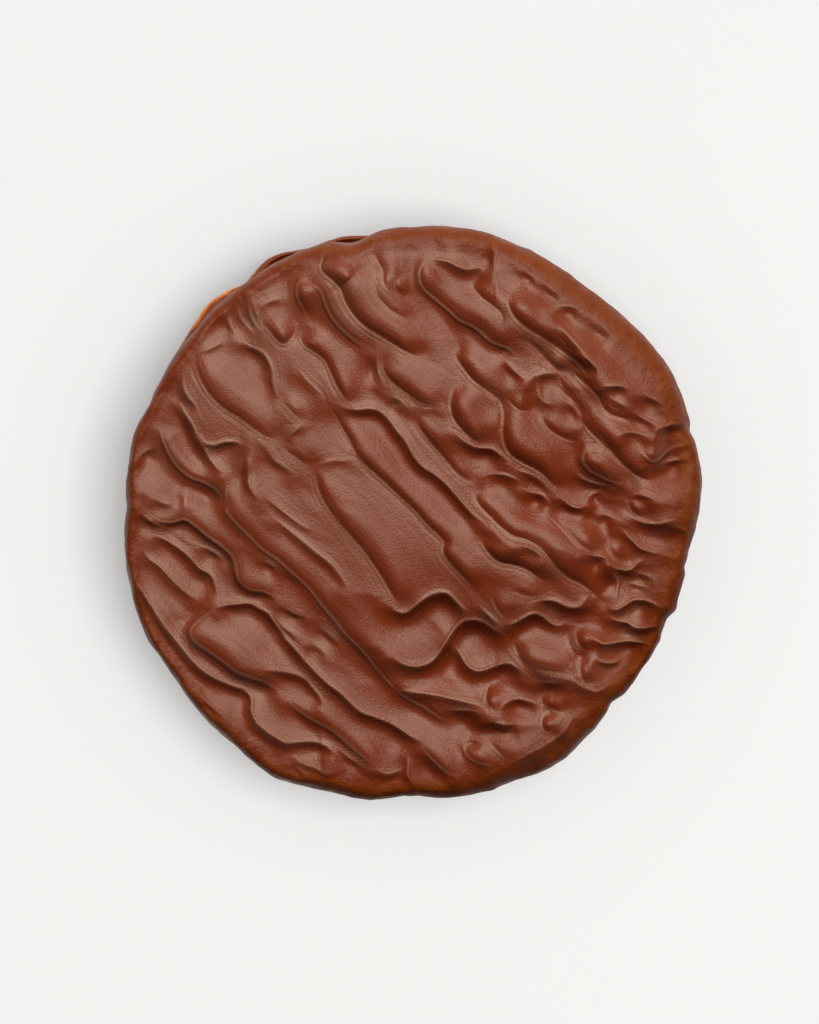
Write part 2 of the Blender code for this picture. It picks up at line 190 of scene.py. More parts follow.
# Each fold: rise to the left of its line, rise to the right, how far each side spreads, and the
# points that the line runs through. Left is the side towards the upper right.
FOLDS = (
    # upper left
    (0, -0.32, 0.72, 0.64, ((-21.2, 24.6), (-20.9, 23.2), (-19.8, 21.8), (-18.6, 20.5))),
    (0, -0.24, 0.72, 0.32, ((-19.9, 24.8), (-19.7, 23.4), (-18.9, 22), (-18.1, 21))),
    (0, -0.2, 0.72, 0.32, ((-19.2, 24.4), (-18.7, 23), (-18, 22))),
    (0, -0.32, 0.72, 0.48, ((-22.6, 23.6), (-22.1, 22.2), (-21.3, 20.8))),
    (0, -0.16, 0.72, 0.48, ((-26, 18.7), (-24.5, 19.4), (-23.2, 20.2), (-22.8, 21.2))),
    (
        0, -0.48, 0.72, 0.56,
        ((-21.3, 20.6), (-20, 19.8), (-18.7, 19.2), (-17.8, 18.4), (-17.2, 17), (-17, 15.4),
         (-16.6, 14), (-15.9, 13)),
    ),
    (0.32, 0, 0.56, 0.72, ((-16.3, 13.5), (-15.4, 12.5), (-14.2, 11.3), (-13.3, 10.5))),
    (0, -0.16, 0.72, 0.4, ((-15.2, 8.8), (-14.2, 9.6), (-13.3, 10.4))),
    (0, -0.32, 0.72, 0.96, ((-14.2, 17.3), (-13.2, 15.9), (-12.2, 14.9), (-11.2, 13.9), (-10.9, 12.9))),
    (
        0.4, 0, 0.96, 0.72,
        ((-26.6, 18.6), (-26.2, 17), (-25.4, 15.2), (-24.2, 13.5), (-22.8, 12.2), (-21, 11.1),
         (-19.4, 9.9), (-17.8, 8.9), (-16, 8.4)),
    ),
    (0, -0.48, 0.72, 0.4, ((-28, 16.8), (-27.8, 15), (-27.2, 13.7), (-26.3, 12.6), (-25.8, 11.4))),
    # left
    (
        0, -0.77, 0.72, 0.64,
        ((-28.6, 13.4), (-27.6, 11.8), (-26.6, 10.2), (-26, 8.8), (-25.2, 7.4), (-24.5, 6.2),
         (-23.6, 5.1), (-22.6, 4.4)),
    ),
    (
        0, -0.42, 0.72, 0.48,
        ((-25.9, 9.2), (-25.2, 8.2), (-24, 7.9), (-22.6, 8.3), (-21.2, 8.2), (-20, 7.4)),
    ),
    (0.26, 0, 0.32, 0.72, ((-20.7, 7), (-20.6, 5.8), (-20.7, 4.4))),
    (0, -0.51, 0.72, 0.4, ((-19.9, 6.4), (-20, 4.6), (-19.9, 3.2), (-19.3, 2.1), (-18.3, 1))),
    (
        0, -0.34, 0.72, 0.56,
        ((-17.2, -0.5), (-16, -1.5), (-14, -3.1), (-12, -4.8), (-10, -6.4), (-8.4, -8.6), (-7.9, -9.8)),
    ),
    (
        0.3, -0.77, 0.56, 0.8,
        ((-30.7, 10.2), (-30.2, 8.6), (-29.4, 6.7), (-28.3, 5.2), (-26.8, 4), (-25.2, 3.4),
         (-23.9, 2.6), (-23, 1.4), (-22.5, 0.4)),
    ),
    (0, -0.3, 0.72, 0.4, ((-33.2, 6.2), (-32.2, 7.2), (-31.3, 7.6))),
    (0, -0.21, 0.72, 0.32, ((-31.4, 1.6), (-30, 0.9), (-28.6, 0.8))),
    (0, -0.26, 0.72, 0.32, ((-27.6, 2.2), (-27.7, 1.2), (-27.6, 0.2))),
    # long step from the left edge to the bottom
    (
        0.51, -0.34, 1.02, 0.68,
        ((-22.5, 4), (-22.6, 0.5), (-21.6, -1.2), (-20, -2.8), (-18.4, -4.4), (-16.6, -5.7),
         (-15.2, -6.9), (-13.6, -8.3), (-12.2, -9.8), (-11, -11.4), (-9.6, -13), (-8.4, -14.6),
         (-7, -15.9), (-5.8, -17.2), (-4.9, -18.4), (-4, -19.5), (-3, -20.6), (-1.8, -21.7),
         (-0.6, -22.6), (0.8, -23.3), (2, -24.1), (3.3, -24.9), (4.6, -25)),
    ),
    # lower left
    (
        0.3, -0.51, 0.96, 0.4,
        ((-31.6, -0.5), (-30.4, -1.2), (-29, -1.3), (-27.6, -1), (-26.4, -1.7), (-24.8, -3),
         (-23, -4.3), (-21.8, -5.6), (-21.4, -7.2), (-20.9, -8.5), (-19.7, -9.4), (-18.2, -9.6),
         (-17, -10.1), (-16.3, -10.6)),
    ),
    (0, -0.42, 0.72, 0.4, ((-33, -0.1), (-32, -0.9), (-31, -1.5), (-30, -1.9))),
    (
        0, -0.68, 0.72, 0.72,
        ((-31.8, -2.8), (-30.3, -3.2), (-28.6, -4.2), (-27.2, -5.3), (-25.8, -6.8), (-24.5, -7.6),
         (-23.9, -9), (-23.6, -10.6)),
    ),
    (0, -0.42, 0.72, 0.48, ((-26, -4.1), (-24.6, -4.6), (-23.4, -5.4), (-22.6, -6.4))),
    (
        0, -0.51, 0.72, 0.72,
        ((-32.7, -4.2), (-32, -5.5), (-30.6, -6.6), (-29, -8.3), (-27.4, -9.8), (-25.8, -10.9)),
    ),
    (
        0, -0.64, 0.72, 0.64,
        ((-33.4, -8.3), (-32.3, -10.1), (-31.1, -12.1), (-29.8, -14), (-28.4, -15.8), (-27, -17.5),
         (-25.6, -18.9), (-23.8, -20), (-22, -20.8), (-20.4, -21.4), (-19.6, -22.4), (-19.6, -23.8),
         (-19, -25.2), (-18, -26.1), (-16.8, -27), (-15.4, -27.7), (-13.8, -27.6), (-12.2, -27.6),
         (-10.8, -28), (-9.8, -28.8), (-9.2, -29.7)),
    ),
    (
        0.3, -0.55, 0.96, 0.48,
        ((-23.8, -11.6), (-25.4, -12.6), (-26.6, -13.6), (-26.9, -14.6), (-26.2, -15.7),
         (-24.6, -16.8), (-22.8, -18.1), (-21.4, -19.2), (-20, -19.8), (-18.4, -20.3), (-17, -21),
         (-16, -21.8)),
    ),
    (
        0, -0.77, 0.72, 0.72,
        ((-24.3, -11.9), (-23, -11.3), (-21.4, -11.1), (-19.8, -11), (-18.6, -11.6), (-17.6, -12.2),
         (-16.8, -13.2), (-15.7, -14.9), (-14.6, -16.2), (-13.2, -17.8), (-11.9, -19.2),
         (-10.4, -20.6), (-8.8, -21.8), (-7.6, -23), (-6.4, -24), (-4.8, -24.6), (-3, -25.3),
         (-1.4, -26.3), (0, -27.2), (1.4, -27.8)),
    ),
    (0, -0.26, 0.72, 0.24, ((-16.1, -11), (-15.2, -11.8), (-13.9, -12.4), (-12.8, -12.7))),
    (0, -0.21, 0.72, 0.32, ((-16.8, -12.2), (-15.8, -13.7), (-14.4, -14.8), (-13.4, -15.6))),
    (0, -0.17, 0.72, 0.24, ((-12.3, -13.2), (-10.8, -14.3), (-9.4, -15.5), (-8.6, -16.4))),
    (0, -0.21, 0.72, 0.4, ((-13, -15.6), (-11.6, -16.3), (-10.4, -17.4))),
    (0, -0.26, 0.72, 0.32, ((-18.4, -5.6), (-17.2, -6.4), (-16.2, -6.9))),
    (
        0, -0.51, 0.72, 0.56,
        ((-18.4, -19), (-16.6, -19.1), (-14.8, -19.4), (-13.3, -20), (-12.3, -21.1), (-11.3, -22.4),
         (-10.8, -24)),
    ),
    (
        0.26, -0.42, 0.64, 0.56,
        ((-15.6, -22.4), (-14, -23.8), (-12.2, -25), (-10.4, -25.9), (-9, -26.9), (-7.6, -28.2),
         (-6, -29.5), (-4.3, -30.8)),
    ),
    (0, -0.26, 0.72, 0.4, ((-9.6, -27.9), (-8.2, -29.2), (-6.6, -30.3), (-5, -31.1))),
    (0, -0.51, 0.72, 0.64, ((-14.9, -28.8), (-13.8, -30), (-12, -30.7), (-10.6, -31.5), (-9.4, -31))),
    (0.26, 0, 0.24, 0.72, ((-11.4, -29), (-11.3, -30.2))),
    (0, -0.42, 0.72, 0.64, ((-25.8, -21.5), (-24.8, -23), (-23.2, -24.3), (-22.4, -24.9))),
    (0, -0.51, 0.72, 0.64, ((-5, -30.5), (-3.6, -31.4), (-2.2, -31.2), (-1.2, -30.6))),
    (0, -0.42, 0.72, 0.56, ((-1, -28.6), (-0.9, -30.2), (-0.9, -31.6), (-0.2, -32.6), (1.2, -32.6))),
    (0, -0.26, 0.72, 0.32, ((-15, -30), (-13.6, -31.2), (-12.4, -32.6))),
    # middle
    (
        0.51, 0, 0.56, 0.72,
        ((-10, 12.2), (-9, 10.5), (-7.9, 8.6), (-6.9, 6.7), (-5.3, 5), (-3.4, 3.3), (-1.5, 1.5),
         (0, 0.1), (1.4, -1.5), (2.8, -2.8), (3.5, -3.7), (3.3, -4.7), (4, -6), (5.3, -7.4),
         (6.5, -8.7), (7.3, -9.6)),
    ),
    (
        0.51, 0, 0.64, 0.72,
        ((-13.9, 21.6), (-13.4, 20), (-12, 19), (-10.8, 18), (-10, 16.4), (-9.3, 14.9), (-8.3, 13.4),
         (-7.2, 12.7)),
    ),
    (
        0, -0.68, 0.72, 0.56,
        ((-9.4, 12.8), (-8.2, 12.3), (-6.8, 12.1), (-5.4, 12.2), (-4.2, 11.9), (-3.2, 11), (-2.2, 9.6),
         (-1.2, 8.4), (-0.2, 6.6), (0.9, 5.3), (2.3, 4.4), (3.6, 3.3), (4.8, 2), (5.8, 0.8), (7, -0.5),
         (8.4, -1.6)),
    ),
    (0, -0.42, 0.72, 0.32, ((-4.6, 18.6), (-4.5, 17), (-4.2, 16), (-3.6, 15.3))),
    (
        0.42, 0, 0.64, 0.72,
        ((-4, 18.4), (-3.8, 16.8), (-2.8, 15.5), (-1.2, 14.2), (0.6, 13), (2.2, 12.5), (3.4, 12.4)),
    ),
    (0, -0.34, 0.72, 0.32, ((-3, 13.7), (-2, 13.3), (-1.3, 12.6))),
    (0, -0.21, 0.72, 0.4, ((1, 12.3), (2, 12.2), (3, 12.1))),
    (
        0.42, 0, 0.56, 0.72,
        ((0.1, 11.8), (0.3, 10.4), (1.4, 8.8), (2.8, 7.2), (4, 5.7), (5.3, 4.3), (7, 3.2)),
    ),
    (0.34, 0, 0.72, 0.72, ((-16, 8.4), (-15.4, 7.3), (-14.3, 6.5), (-13.2, 5.7), (-12, 5.3))),
    (0, -0.17, 0.72, 0.72, ((-12.2, 5), (-10.8, 5.7), (-9.5, 6.05), (-8.2, 6), (-6.8, 6.4))),
    (
        0.42, 0, 0.72, 0.72,
        ((-12.5, 5.6), (-11.9, 4.2), (-11.6, 2.8), (-10.9, 1.2), (-9.6, -0.7), (-8.2, -2.4),
         (-6.6, -4.2), (-5.2, -6), (-4, -7.8), (-3.1, -9.4), (-2.3, -10.6), (-1.4, -11.6)),
    ),
    (0, -0.26, 0.72, 0.48, ((-18.4, 8.6), (-17.6, 7.4), (-16.8, 6.2), (-15.4, 5.2), (-14, 4.2))),
    (0, -0.13, 0.72, 0.32, ((-18.6, 2.2), (-17, 0.9), (-15.2, -0.5), (-13.4, -1.8), (-11.6, -2.6))),
    # upper right
    (
        1.25, 0, 1.17, 0.9,
        ((5, 15.6), (4.5, 14.3), (4.2, 12.7), (4.6, 11), (5.8, 9.5), (7.3, 8.3), (8.9, 7.9)),
    ),
    (0, -0.25, 0.9, 1.17, ((6.2, 14.9), (7.6, 14.3), (8.9, 13.5), (9.7, 12.6), (9.9, 11.2), (10, 9.9))),
    (
        1.12, 0, 1.17, 0.9,
        ((4.6, 19.8), (4.8, 18.5), (5.8, 17), (7, 15.5), (8.6, 14.3), (10, 13.2), (10.5, 11.8),
         (10.4, 10), (10.6, 8.2), (11.4, 6.8), (13, 5.7), (14.7, 4.8), (16.2, 3.4), (17.4, 2.2)),
    ),
    (0, -0.84, 0.9, 0.65, ((4.4, 9.7), (5.6, 8.6), (7.2, 7.7), (9, 7.5), (10.2, 6.7), (11.4, 5.8))),
    (0, -0.43, 0.9, 0.52, ((12.2, 4.9), (13.8, 4.4), (15.2, 3.6), (16.4, 2.7))),
    (
        0.99, 0, 1.17, 0.9,
        ((7.1, 3), (7.1, 1.8), (7.8, 0.5), (9, -0.7), (10.2, -1.9), (11.6, -2.9), (13.2, -3.4),
         (14.7, -4.2), (15.8, -5.4), (17, -6.9), (18.4, -8), (19.8, -8.7), (21.2, -9.8), (22.6, -11.2)),
    ),
    (0, -1.06, 0.9, 1.69, ((7.5, 3.8), (8.8, 4.4), (10.4, 4.4), (12, 3.8), (13.2, 3))),
    (0, -1.29, 0.9, 1.3, ((12.6, 2.9), (13.8, 2.3), (15, 2), (15.8, 1.2), (16.2, 0.2))),
    (0, -0.56, 0.9, 0.65, ((10.2, 18.4), (11.6, 17), (12.9, 15.8), (13.6, 15))),
    (0, -0.9, 0.9, 1.56, ((14.4, 16), (14.7, 14.6), (14.9, 13.6), (15.7, 12.9), (17, 12.8))),
    (0, -0.69, 0.9, 0.78, ((13.2, 15.4), (14.8, 16.2), (16.2, 16.5), (17.8, 16.6))),
    (0.56, 0, 1.17, 0.9, ((15.6, 18.6), (16.8, 17.3), (17.8, 16.4))),
    (0.69, 0, 1.17, 0.9, ((10.6, 13.6), (12.4, 12.1), (14, 11.9))),
    # lower right
    (
        0, -1.34, 0.9, 0.98,
        ((-3.4, -10.8), (-2.2, -11.9), (-1.1, -12.05), (0, -11.3), (1.2, -10.4), (2.4, -9.8),
         (3.8, -9.8), (4.8, -10.7), (5.8, -11.7), (7, -12.3)),
    ),
    (0, -0.71, 0.9, 0.78, ((7.2, -11), (8.4, -12.1), (9.6, -13.1), (10.6, -13.7))),
    (
        0, -1.34, 0.9, 0.98,
        ((-3, -17), (-1.8, -18), (-0.4, -18.5), (1, -18.4), (2.2, -17.8), (3.2, -16.5), (4, -15.2),
         (4.9, -13.9), (6, -13.1), (7.3, -13), (8.5, -13.5), (9.7, -14.3), (10.9, -14.9)),
    ),
    (
        0, -1.34, 0.9, 1.04,
        ((10, -13.4), (11.2, -13.5), (12.2, -13.2), (13.2, -12.6), (14.2, -12.2), (15.2, -12.5),
         (16.2, -13.3), (17.2, -13.7), (18.4, -13.2)),
    ),
    (
        0, -0.71, 0.9, 0.65,
        ((13.8, -10.9), (15.2, -10.6), (16.6, -10.7), (18, -11.3), (19.4, -11.5), (20.4, -10.8)),
    ),
    (
        1.27, 0, 1.04, 0.9,
        ((7.6, -3.2), (8.6, -4.8), (10, -6), (11.8, -6.4), (13.2, -6.9), (14.6, -7.8), (15.8, -8.7)),
    ),
    (0.36, 0, 1.04, 0.9, ((9, -9.6), (9.5, -11.2), (10.3, -12.4), (11.4, -13.1))),
    (0.21, 0, 0.78, 0.9, ((10.8, -9.2), (12.4, -9.8), (13.8, -10.2), (15.6, -10.3))),
    (0.43, 0, 0.78, 0.9, ((9.2, -26.2), (10.6, -26.6), (12, -26.4))),
    (
        0, -1.13, 0.9, 0.91,
        ((4.3, -15.4), (5.2, -16.8), (6.2, -18.4), (7.4, -19.1), (8.6, -18.9), (9.9, -18.4),
         (11.2, -18.2), (12.4, -18.9), (13.4, -19.9)),
    ),
    (
        0.71, 0, 0.91, 0.9,
        ((11.4, -15.2), (12, -16.4), (12.6, -17.6), (13.8, -18.6), (15.6, -19.1), (17.4, -19.4),
         (18.8, -19.9)),
    ),
    (
        0, -1.01, 0.9, 1.3,
        ((12.4, -17.4), (13.6, -18.5), (15.4, -19.3), (17.2, -19.8), (18.8, -20.2), (20.2, -21),
         (21.6, -21.6), (22.8, -21.2), (24.2, -20.2)),
    ),
    (0, -0.71, 0.9, 0.78, ((14.2, -20.4), (15.6, -20.5), (17, -20.6), (18.6, -20.8))),
    (
        0, -0.84, 0.9, 1.04,
        ((-2.6, -21.2), (-0.6, -21.6), (1.4, -21.8), (3.2, -22.1), (5.2, -22.6), (7.2, -23.1),
         (8.8, -23.6)),
    ),
    (0, -0.9, 0.9, 1.17, ((3.2, -23.7), (5, -23.8), (7, -23.9), (8.8, -24.5))),
    (
        0.71, 0, 0.78, 0.9,
        ((9.2, -19.8), (8.6, -21.4), (8.5, -22.8), (9.4, -23.9), (10.2, -24.4)),
    ),
    (
        0, -0.85, 0.9, 0.65,
        ((9.9, -24.1), (11, -22.9), (12.2, -22.45), (13.4, -22.7), (14.6, -23), (15.6, -22.8)),
    ),
    (0, -0.99, 0.9, 0.78, ((8.2, -24.8), (9.6, -25.3), (11.2, -25.5), (12.6, -25.4))),
    (0.85, 0, 0.91, 0.9, ((16, -23.6), (15.2, -24.8), (15.3, -26), (16.4, -26.8))),
    (0.71, 0, 0.78, 0.9, ((14.9, -21.2), (15, -22.4), (15.8, -23.4), (17.2, -24), (18.6, -24.4))),
    (
        0.56, -0.43, 0.78, 0.78,
        ((6.4, -26.9), (5.8, -27.8), (6.1, -29), (7, -29.8), (8.4, -30.3), (10, -30.4)),
    ),
    (0.43, 0, 0.78, 0.9, ((8.2, -26.8), (9.2, -28), (10.4, -29.2), (11.2, -30.2))),
    (0, -0.43, 0.9, 0.52, ((5.6, -27.2), (6.8, -27.3), (8.2, -27.5))),
    (0.28, -0.99, 0.65, 0.91, ((0.4, -28), (1.8, -29.4), (2.8, -30.4), (4, -31.3), (5.6, -31.8))),
    (
        0, -1.13, 0.9, 1.43,
        ((10.2, -30.3), (12, -29.9), (13.6, -29), (15.2, -28.3), (16.6, -27.3), (18, -26.2),
         (18.9, -24.9), (20.4, -24.6)),
    ),
    # right, lower half
    (1.23, 0, 1.17, 0.9, ((19.5, -17.2), (19.6, -18.6), (19.8, -19.8), (20.4, -20.8))),
    (0, -1.27, 0.9, 0.65, ((17.2, 2), (18, 1.1), (19, 0.5), (20, 0.5), (20.7, 1.1))),
    (0, -0.43, 0.9, 0.52, ((20.6, 0.6), (20.8, 1.6), (21.6, 2.2), (22.6, 2.3))),
    (0, -0.5, 0.9, 0.65, ((22, -0.3), (22.8, -0.4), (24, -1))),
    (0.76, 0, 1.17, 0.9, ((16.2, -0.4), (17.4, -1.6), (18.4, -2.7), (19.6, -4), (21, -4.8), (22.4, -5))),
    (0, -0.76, 0.9, 0.65, ((19.8, -5), (21.2, -5.2), (22.6, -5.5), (23.4, -6.1))),
    (0, -1.27, 0.9, 0.78, ((23, -6.2), (24, -6.8), (25, -7), (25.9, -6.9), (26.6, -6.2), (27.6, -5.6))),
    (0, -0.34, 0.9, 0.45, ((26, -7.2), (27.4, -7.6), (28.8, -8.2))),
    (0, -0.34, 0.9, 0.45, ((25.4, -8.4), (27, -8.9), (28.6, -9.4))),
    (0, -1.01, 0.9, 1.17, ((30.4, -1.6), (31.4, -1.9), (32.6, -2.6), (33.2, -3.6))),
    (0, -0.5, 0.9, 0.39, ((31.8, -5.8), (32.6, -6.1), (33.4, -6.2))),
    (0, -0.5, 0.9, 0.52, ((12, -3.9), (13.5, -4.3), (14.8, -5.1), (15.6, -6.2))),
    (0, -1.01, 0.9, 0.78, ((24.2, -1.8), (25, -2.5), (26, -3.5), (27, -4.4), (28.2, -4.8), (29.6, -5.1))),
    (
        0, -1.34, 0.9, 1.04,
        ((25.2, -0.2), (26.6, -1), (27.8, -1.4), (29.2, -1.5), (30.4, -1.2), (31.6, -1)),
    ),
    (0.67, 0, 0.91, 0.9, ((22.7, -3.2), (23.2, -4.6), (24, -5.6), (25.2, -6.4))),
    (0, -1.34, 0.9, 1.9, ((23.4, -7), (24.2, -8.2), (24.1, -9.6), (24, -10.8))),
    (
        0, -1.01, 0.9, 0.65,
        ((22.6, -11.4), (24, -11.8), (25.2, -11.2), (26.2, -10.6), (27.4, -10.6), (28.6, -11.1),
         (29.8, -11.9)),
    ),
    (
        0, -1.34, 0.9, 0.78,
        ((22.8, -12.4), (24.2, -13.1), (25.4, -13.3), (26.4, -13.9), (28, -13.9), (29.4, -13.6),
         (30.4, -13.1)),
    ),
    (
        0, -1.34, 0.9, 0.78,
        ((20.8, -14.6), (22.4, -15.8), (24, -15.7), (25.6, -15.5), (27, -15.7), (28.8, -16)),
    ),
    (0, -0.84, 0.9, 0.65, ((21.2, -17.2), (22.4, -18), (23.8, -18.1), (25.2, -17.4))),
    (0, -1.46, 0.9, 1.9, ((17, -11.3), (18.4, -11.5), (19.6, -11.4), (20.4, -10.6), (21.2, -9.8))),
    (0.67, 0, 1.04, 0.9, ((19.4, -13.6), (19.2, -14.8), (19.6, -16), (20.6, -17))),
    (0.67, 0, 1.04, 0.9, ((17.8, -14.6), (18.6, -16.4), (19.6, -17.6))),
    # right, upper half
    (0.62, 0, 1.04, 0.9, ((15.3, 12.6), (15, 11.4), (15.6, 10.2), (16.8, 9.2), (18.4, 8.5), (19.9, 8.3))),
    (
        0.87, -0.69, 1.17, 0.65,
        ((21, 8.4), (20.2, 7.3), (20, 6.1), (20.8, 4.9), (22.2, 4.1), (23.8, 3.4), (25.4, 3.2)),
    ),
    (
        1.3, 0, 1.43, 0.9,
        ((21.2, 10.2), (22.2, 8.8), (23.2, 7.4), (24.2, 6.2), (25.2, 5.2), (26.4, 4.3), (27.6, 3.7),
         (29, 3.6)),
    ),
    (0, -0.6, 0.9, 0.65, ((19, 5.4), (19.4, 4.4), (20.4, 3.7), (22, 3.2), (24, 2.9))),
    (0, -1.04, 0.9, 0.65, ((31, 7.6), (32.2, 7.9), (33.4, 8.6))),
    (0, -0.87, 0.9, 0.52, ((29.4, 5.7), (30.6, 6), (31.8, 6.2), (32.8, 6.6))),
    (0.87, 0, 0.78, 0.9, ((25.6, 2.4), (25.5, 1.2), (25.8, 0.2), (26.6, -0.5), (27.8, -1))),
    (
        0.87, -0.53, 1.17, 0.78,
        ((26.4, 8), (27.3, 6.7), (28.4, 6), (29.3, 6.3), (30, 7.1), (31, 7.7), (32.4, 8.1)),
    ),
    (0, -2.2, 0.9, 0.9, ((28.2, 9.4), (29.4, 10), (30.8, 10.4), (32, 10.5), (33.2, 10.4))),
    (
        1.04, 0, 1.04, 0.9,
        ((18, 17.6), (19.2, 16.2), (20.6, 14.9), (21.8, 13.7), (22.4, 12.4), (23.4, 11.5), (25, 11),
         (26.6, 10.2)),
    ),
    (0, -0.87, 0.9, 0.78, ((21.8, 14.8), (23.2, 14.9), (24.6, 14.9), (26, 14.2))),
    (0, -1.04, 0.9, 0.91, ((19.6, 19), (20.8, 17.9), (21.7, 16.8), (21.6, 15.8))),
    (
        0.87, 0, 1.17, 0.9,
        ((17, 14.6), (18.6, 13.4), (19.6, 12.1), (19.9, 10.9), (20.8, 9.6), (21.8, 8.6), (22.9, 7.4)),
    ),
    (0, -0.67, 0.9, 0.78, ((17.3, 13.9), (18.5, 12.9), (19.4, 12), (19.9, 10.6), (19.9, 9.6))),
    (0, -0.69, 0.9, 0.78, ((23.8, 8.6), (25.2, 9.4), (26.8, 9.3), (28.2, 8.9))),
    (0, -0.69, 0.9, 0.65, ((25.2, 1.6), (26.4, 2), (27.6, 1.8), (28.8, 1.3))),
    (0, -0.53, 0.9, 0.52, ((27, 14.2), (28.6, 13.3), (30, 12.4))),
    (0, -0.35, 0.9, 0.52, ((25.4, 12.2), (27, 11.2), (28.6, 10.4), (29.8, 9.8))),
    # top right
    (
        1.25, -0.43, 1.56, 0.59,
        ((1.8, 30.6), (0.8, 29.6), (0.4, 28.4), (0.7, 27), (1.6, 26), (2.8, 25), (4, 24), (5.2, 22.9),
         (6.6, 22.2), (7.8, 21.4), (8.7, 20.5), (9.8, 19.9), (11.2, 19.4), (12.4, 18.2)),
    ),
    (
        0, -1.25, 0.9, 1.17,
        ((1.2, 30.2), (2.6, 30.05), (4, 29.8), (5.2, 29.2), (6.4, 28.9), (7.6, 29.1), (9, 29.1)),
    ),
    (
        0.69, 0, 0.78, 0.9,
        ((6.8, 28), (7, 26.7), (8, 25.5), (9.2, 24.6), (10.2, 23.7), (10.4, 22.8), (9.6, 22.1)),
    ),
    (0, -0.69, 0.9, 0.52, ((9.7, 31.4), (9.45, 30.2), (9.4, 29.2), (9.6, 28.2))),
    (
        1.12, 0, 1.17, 0.9,
        ((10.7, 26.2), (11.1, 24.6), (11.9, 23.1), (13.2, 21.9), (14.8, 20.9), (16.4, 19.9),
         (17.8, 18.9), (19.2, 17.9), (20, 17), (20.6, 16.2), (20.2, 15.6)),
    ),
    (
        0.69, 0, 0.78, 0.9,
        ((11.6, 20.4), (13.2, 20.3), (14.4, 19.5), (15.4, 18.5), (16.4, 17.4), (17.4, 16.8),
         (18.6, 16.4)),
    ),
    (0.56, 0, 1.04, 0.9, ((17.2, 16), (17.6, 14.9), (18.4, 13.8))),
    (0, -0.28, 0.9, 0.39, ((12.9, 28.9), (13.8, 28.2), (14.6, 27.6))),
    (0, -0.28, 0.9, 0.39, ((15, 27.6), (16.2, 26.6), (17.2, 25.9), (18.2, 25.4))),
    (0, -0.21, 0.9, 0.39, ((20.8, 23.2), (22, 22.4), (23.2, 21.2), (24.2, 20))),
    (0, -0.21, 0.9, 0.39, ((22.6, 14), (24.2, 13), (26, 12))),
    (0, -0.84, 0.9, 1.04, ((16.4, 24.4), (17.6, 24.5), (18.8, 24.4), (20, 24))),
    (0, -0.99, 0.9, 0.91, ((16.8, 22.6), (18, 21.2), (19.2, 19.8), (20.4, 18.6))),
    (0, -0.21, 0.9, 0.52, ((20.4, 23.6), (21.2, 22.5), (22.4, 21.6), (23.8, 20.5))),
    # top
    (
        1.03, 0, 1.2, 0.9,
        ((-10.6, 31.4), (-11, 30.2), (-11.3, 29.2), (-10.8, 28.3), (-9.8, 27.5), (-8.9, 26.5),
         (-8.5, 25.4), (-7.9, 24.2), (-7, 23), (-5.8, 21.9), (-4.2, 20.9), (-2.6, 19.9), (-1, 19),
         (0.8, 18.3)),
    ),
    (0.4, 0, 0.8, 0.9, ((-5.2, 29), (-4.9, 27), (-4.4, 25.5), (-3.2, 24.2), (-1.8, 23.3), (0, 22.6))),
    (
        0.57, 0, 0.9, 0.9,
        ((-5.4, 31.6), (-4.6, 30), (-3.9, 28.7), (-3.9, 27.6), (-3.4, 26.5), (-2.4, 25.6)),
    ),
    (0.23, 0, 0.4, 0.9, ((-2, 28.4), (-2.4, 27.2), (-2.1, 26.2), (-1.2, 25.6))),
    (
        0.46, -0.23, 0.7, 0.7,
        ((-12.6, 28), (-13.9, 27.5), (-14.2, 26), (-13.8, 24.9), (-13.2, 23.8), (-12.7, 22.6)),
    ),
    (
        0.4, -0.4, 0.8, 0.8,
        ((-12.8, 27.4), (-11.4, 26.4), (-10.8, 25), (-10.2, 23.6), (-9.3, 22.3), (-8.2, 21.2),
         (-7, 20.2), (-5.6, 19.3)),
    ),
    (
        0.52, 0, 0.7, 0.9,
        ((-18.8, 23.2), (-17.4, 21.5), (-16.6, 20.5), (-15.6, 20), (-14.8, 20.6), (-14.2, 21.6),
         (-13.7, 22.7)),
    ),
    (0, -0.17, 0.9, 0.5, ((-18.6, 24.4), (-17, 25.1), (-15.6, 25.4))),
    (0.34, 0, 0.5, 0.9, ((-8.8, 26.9), (-7.8, 27.5), (-6.8, 28.4))),
)


def smooth_step(value):
    value = np.clip(value, 0, 1)
    return value * value * (3 - 2 * value)


def smooth_line(points):
    """Points at about LINE_SPACING along a Catmull-Rom curve through the given ones."""
    through = np.array(points, float)
    first = 2 * through[0] - through[1]
    last = 2 * through[-1] - through[-2]
    guide = np.vstack([first, through, last])
    stretches = []
    for before, start, end, after in zip(guide, guide[1:], guide[2:], guide[3:]):
        count = max(2, int(np.ceil(np.linalg.norm(end - start) / LINE_SPACING)))
        t = np.arange(count)[:, None] / count
        bend = (2 * before - 5 * start + 4 * end - after) * t**2
        twist = (3 * start - before - 3 * end + after) * t**3
        stretches.append((2 * start + (end - before) * t + bend + twist) / 2)
    stretches.append(through[-1:])
    return np.vstack(stretches)


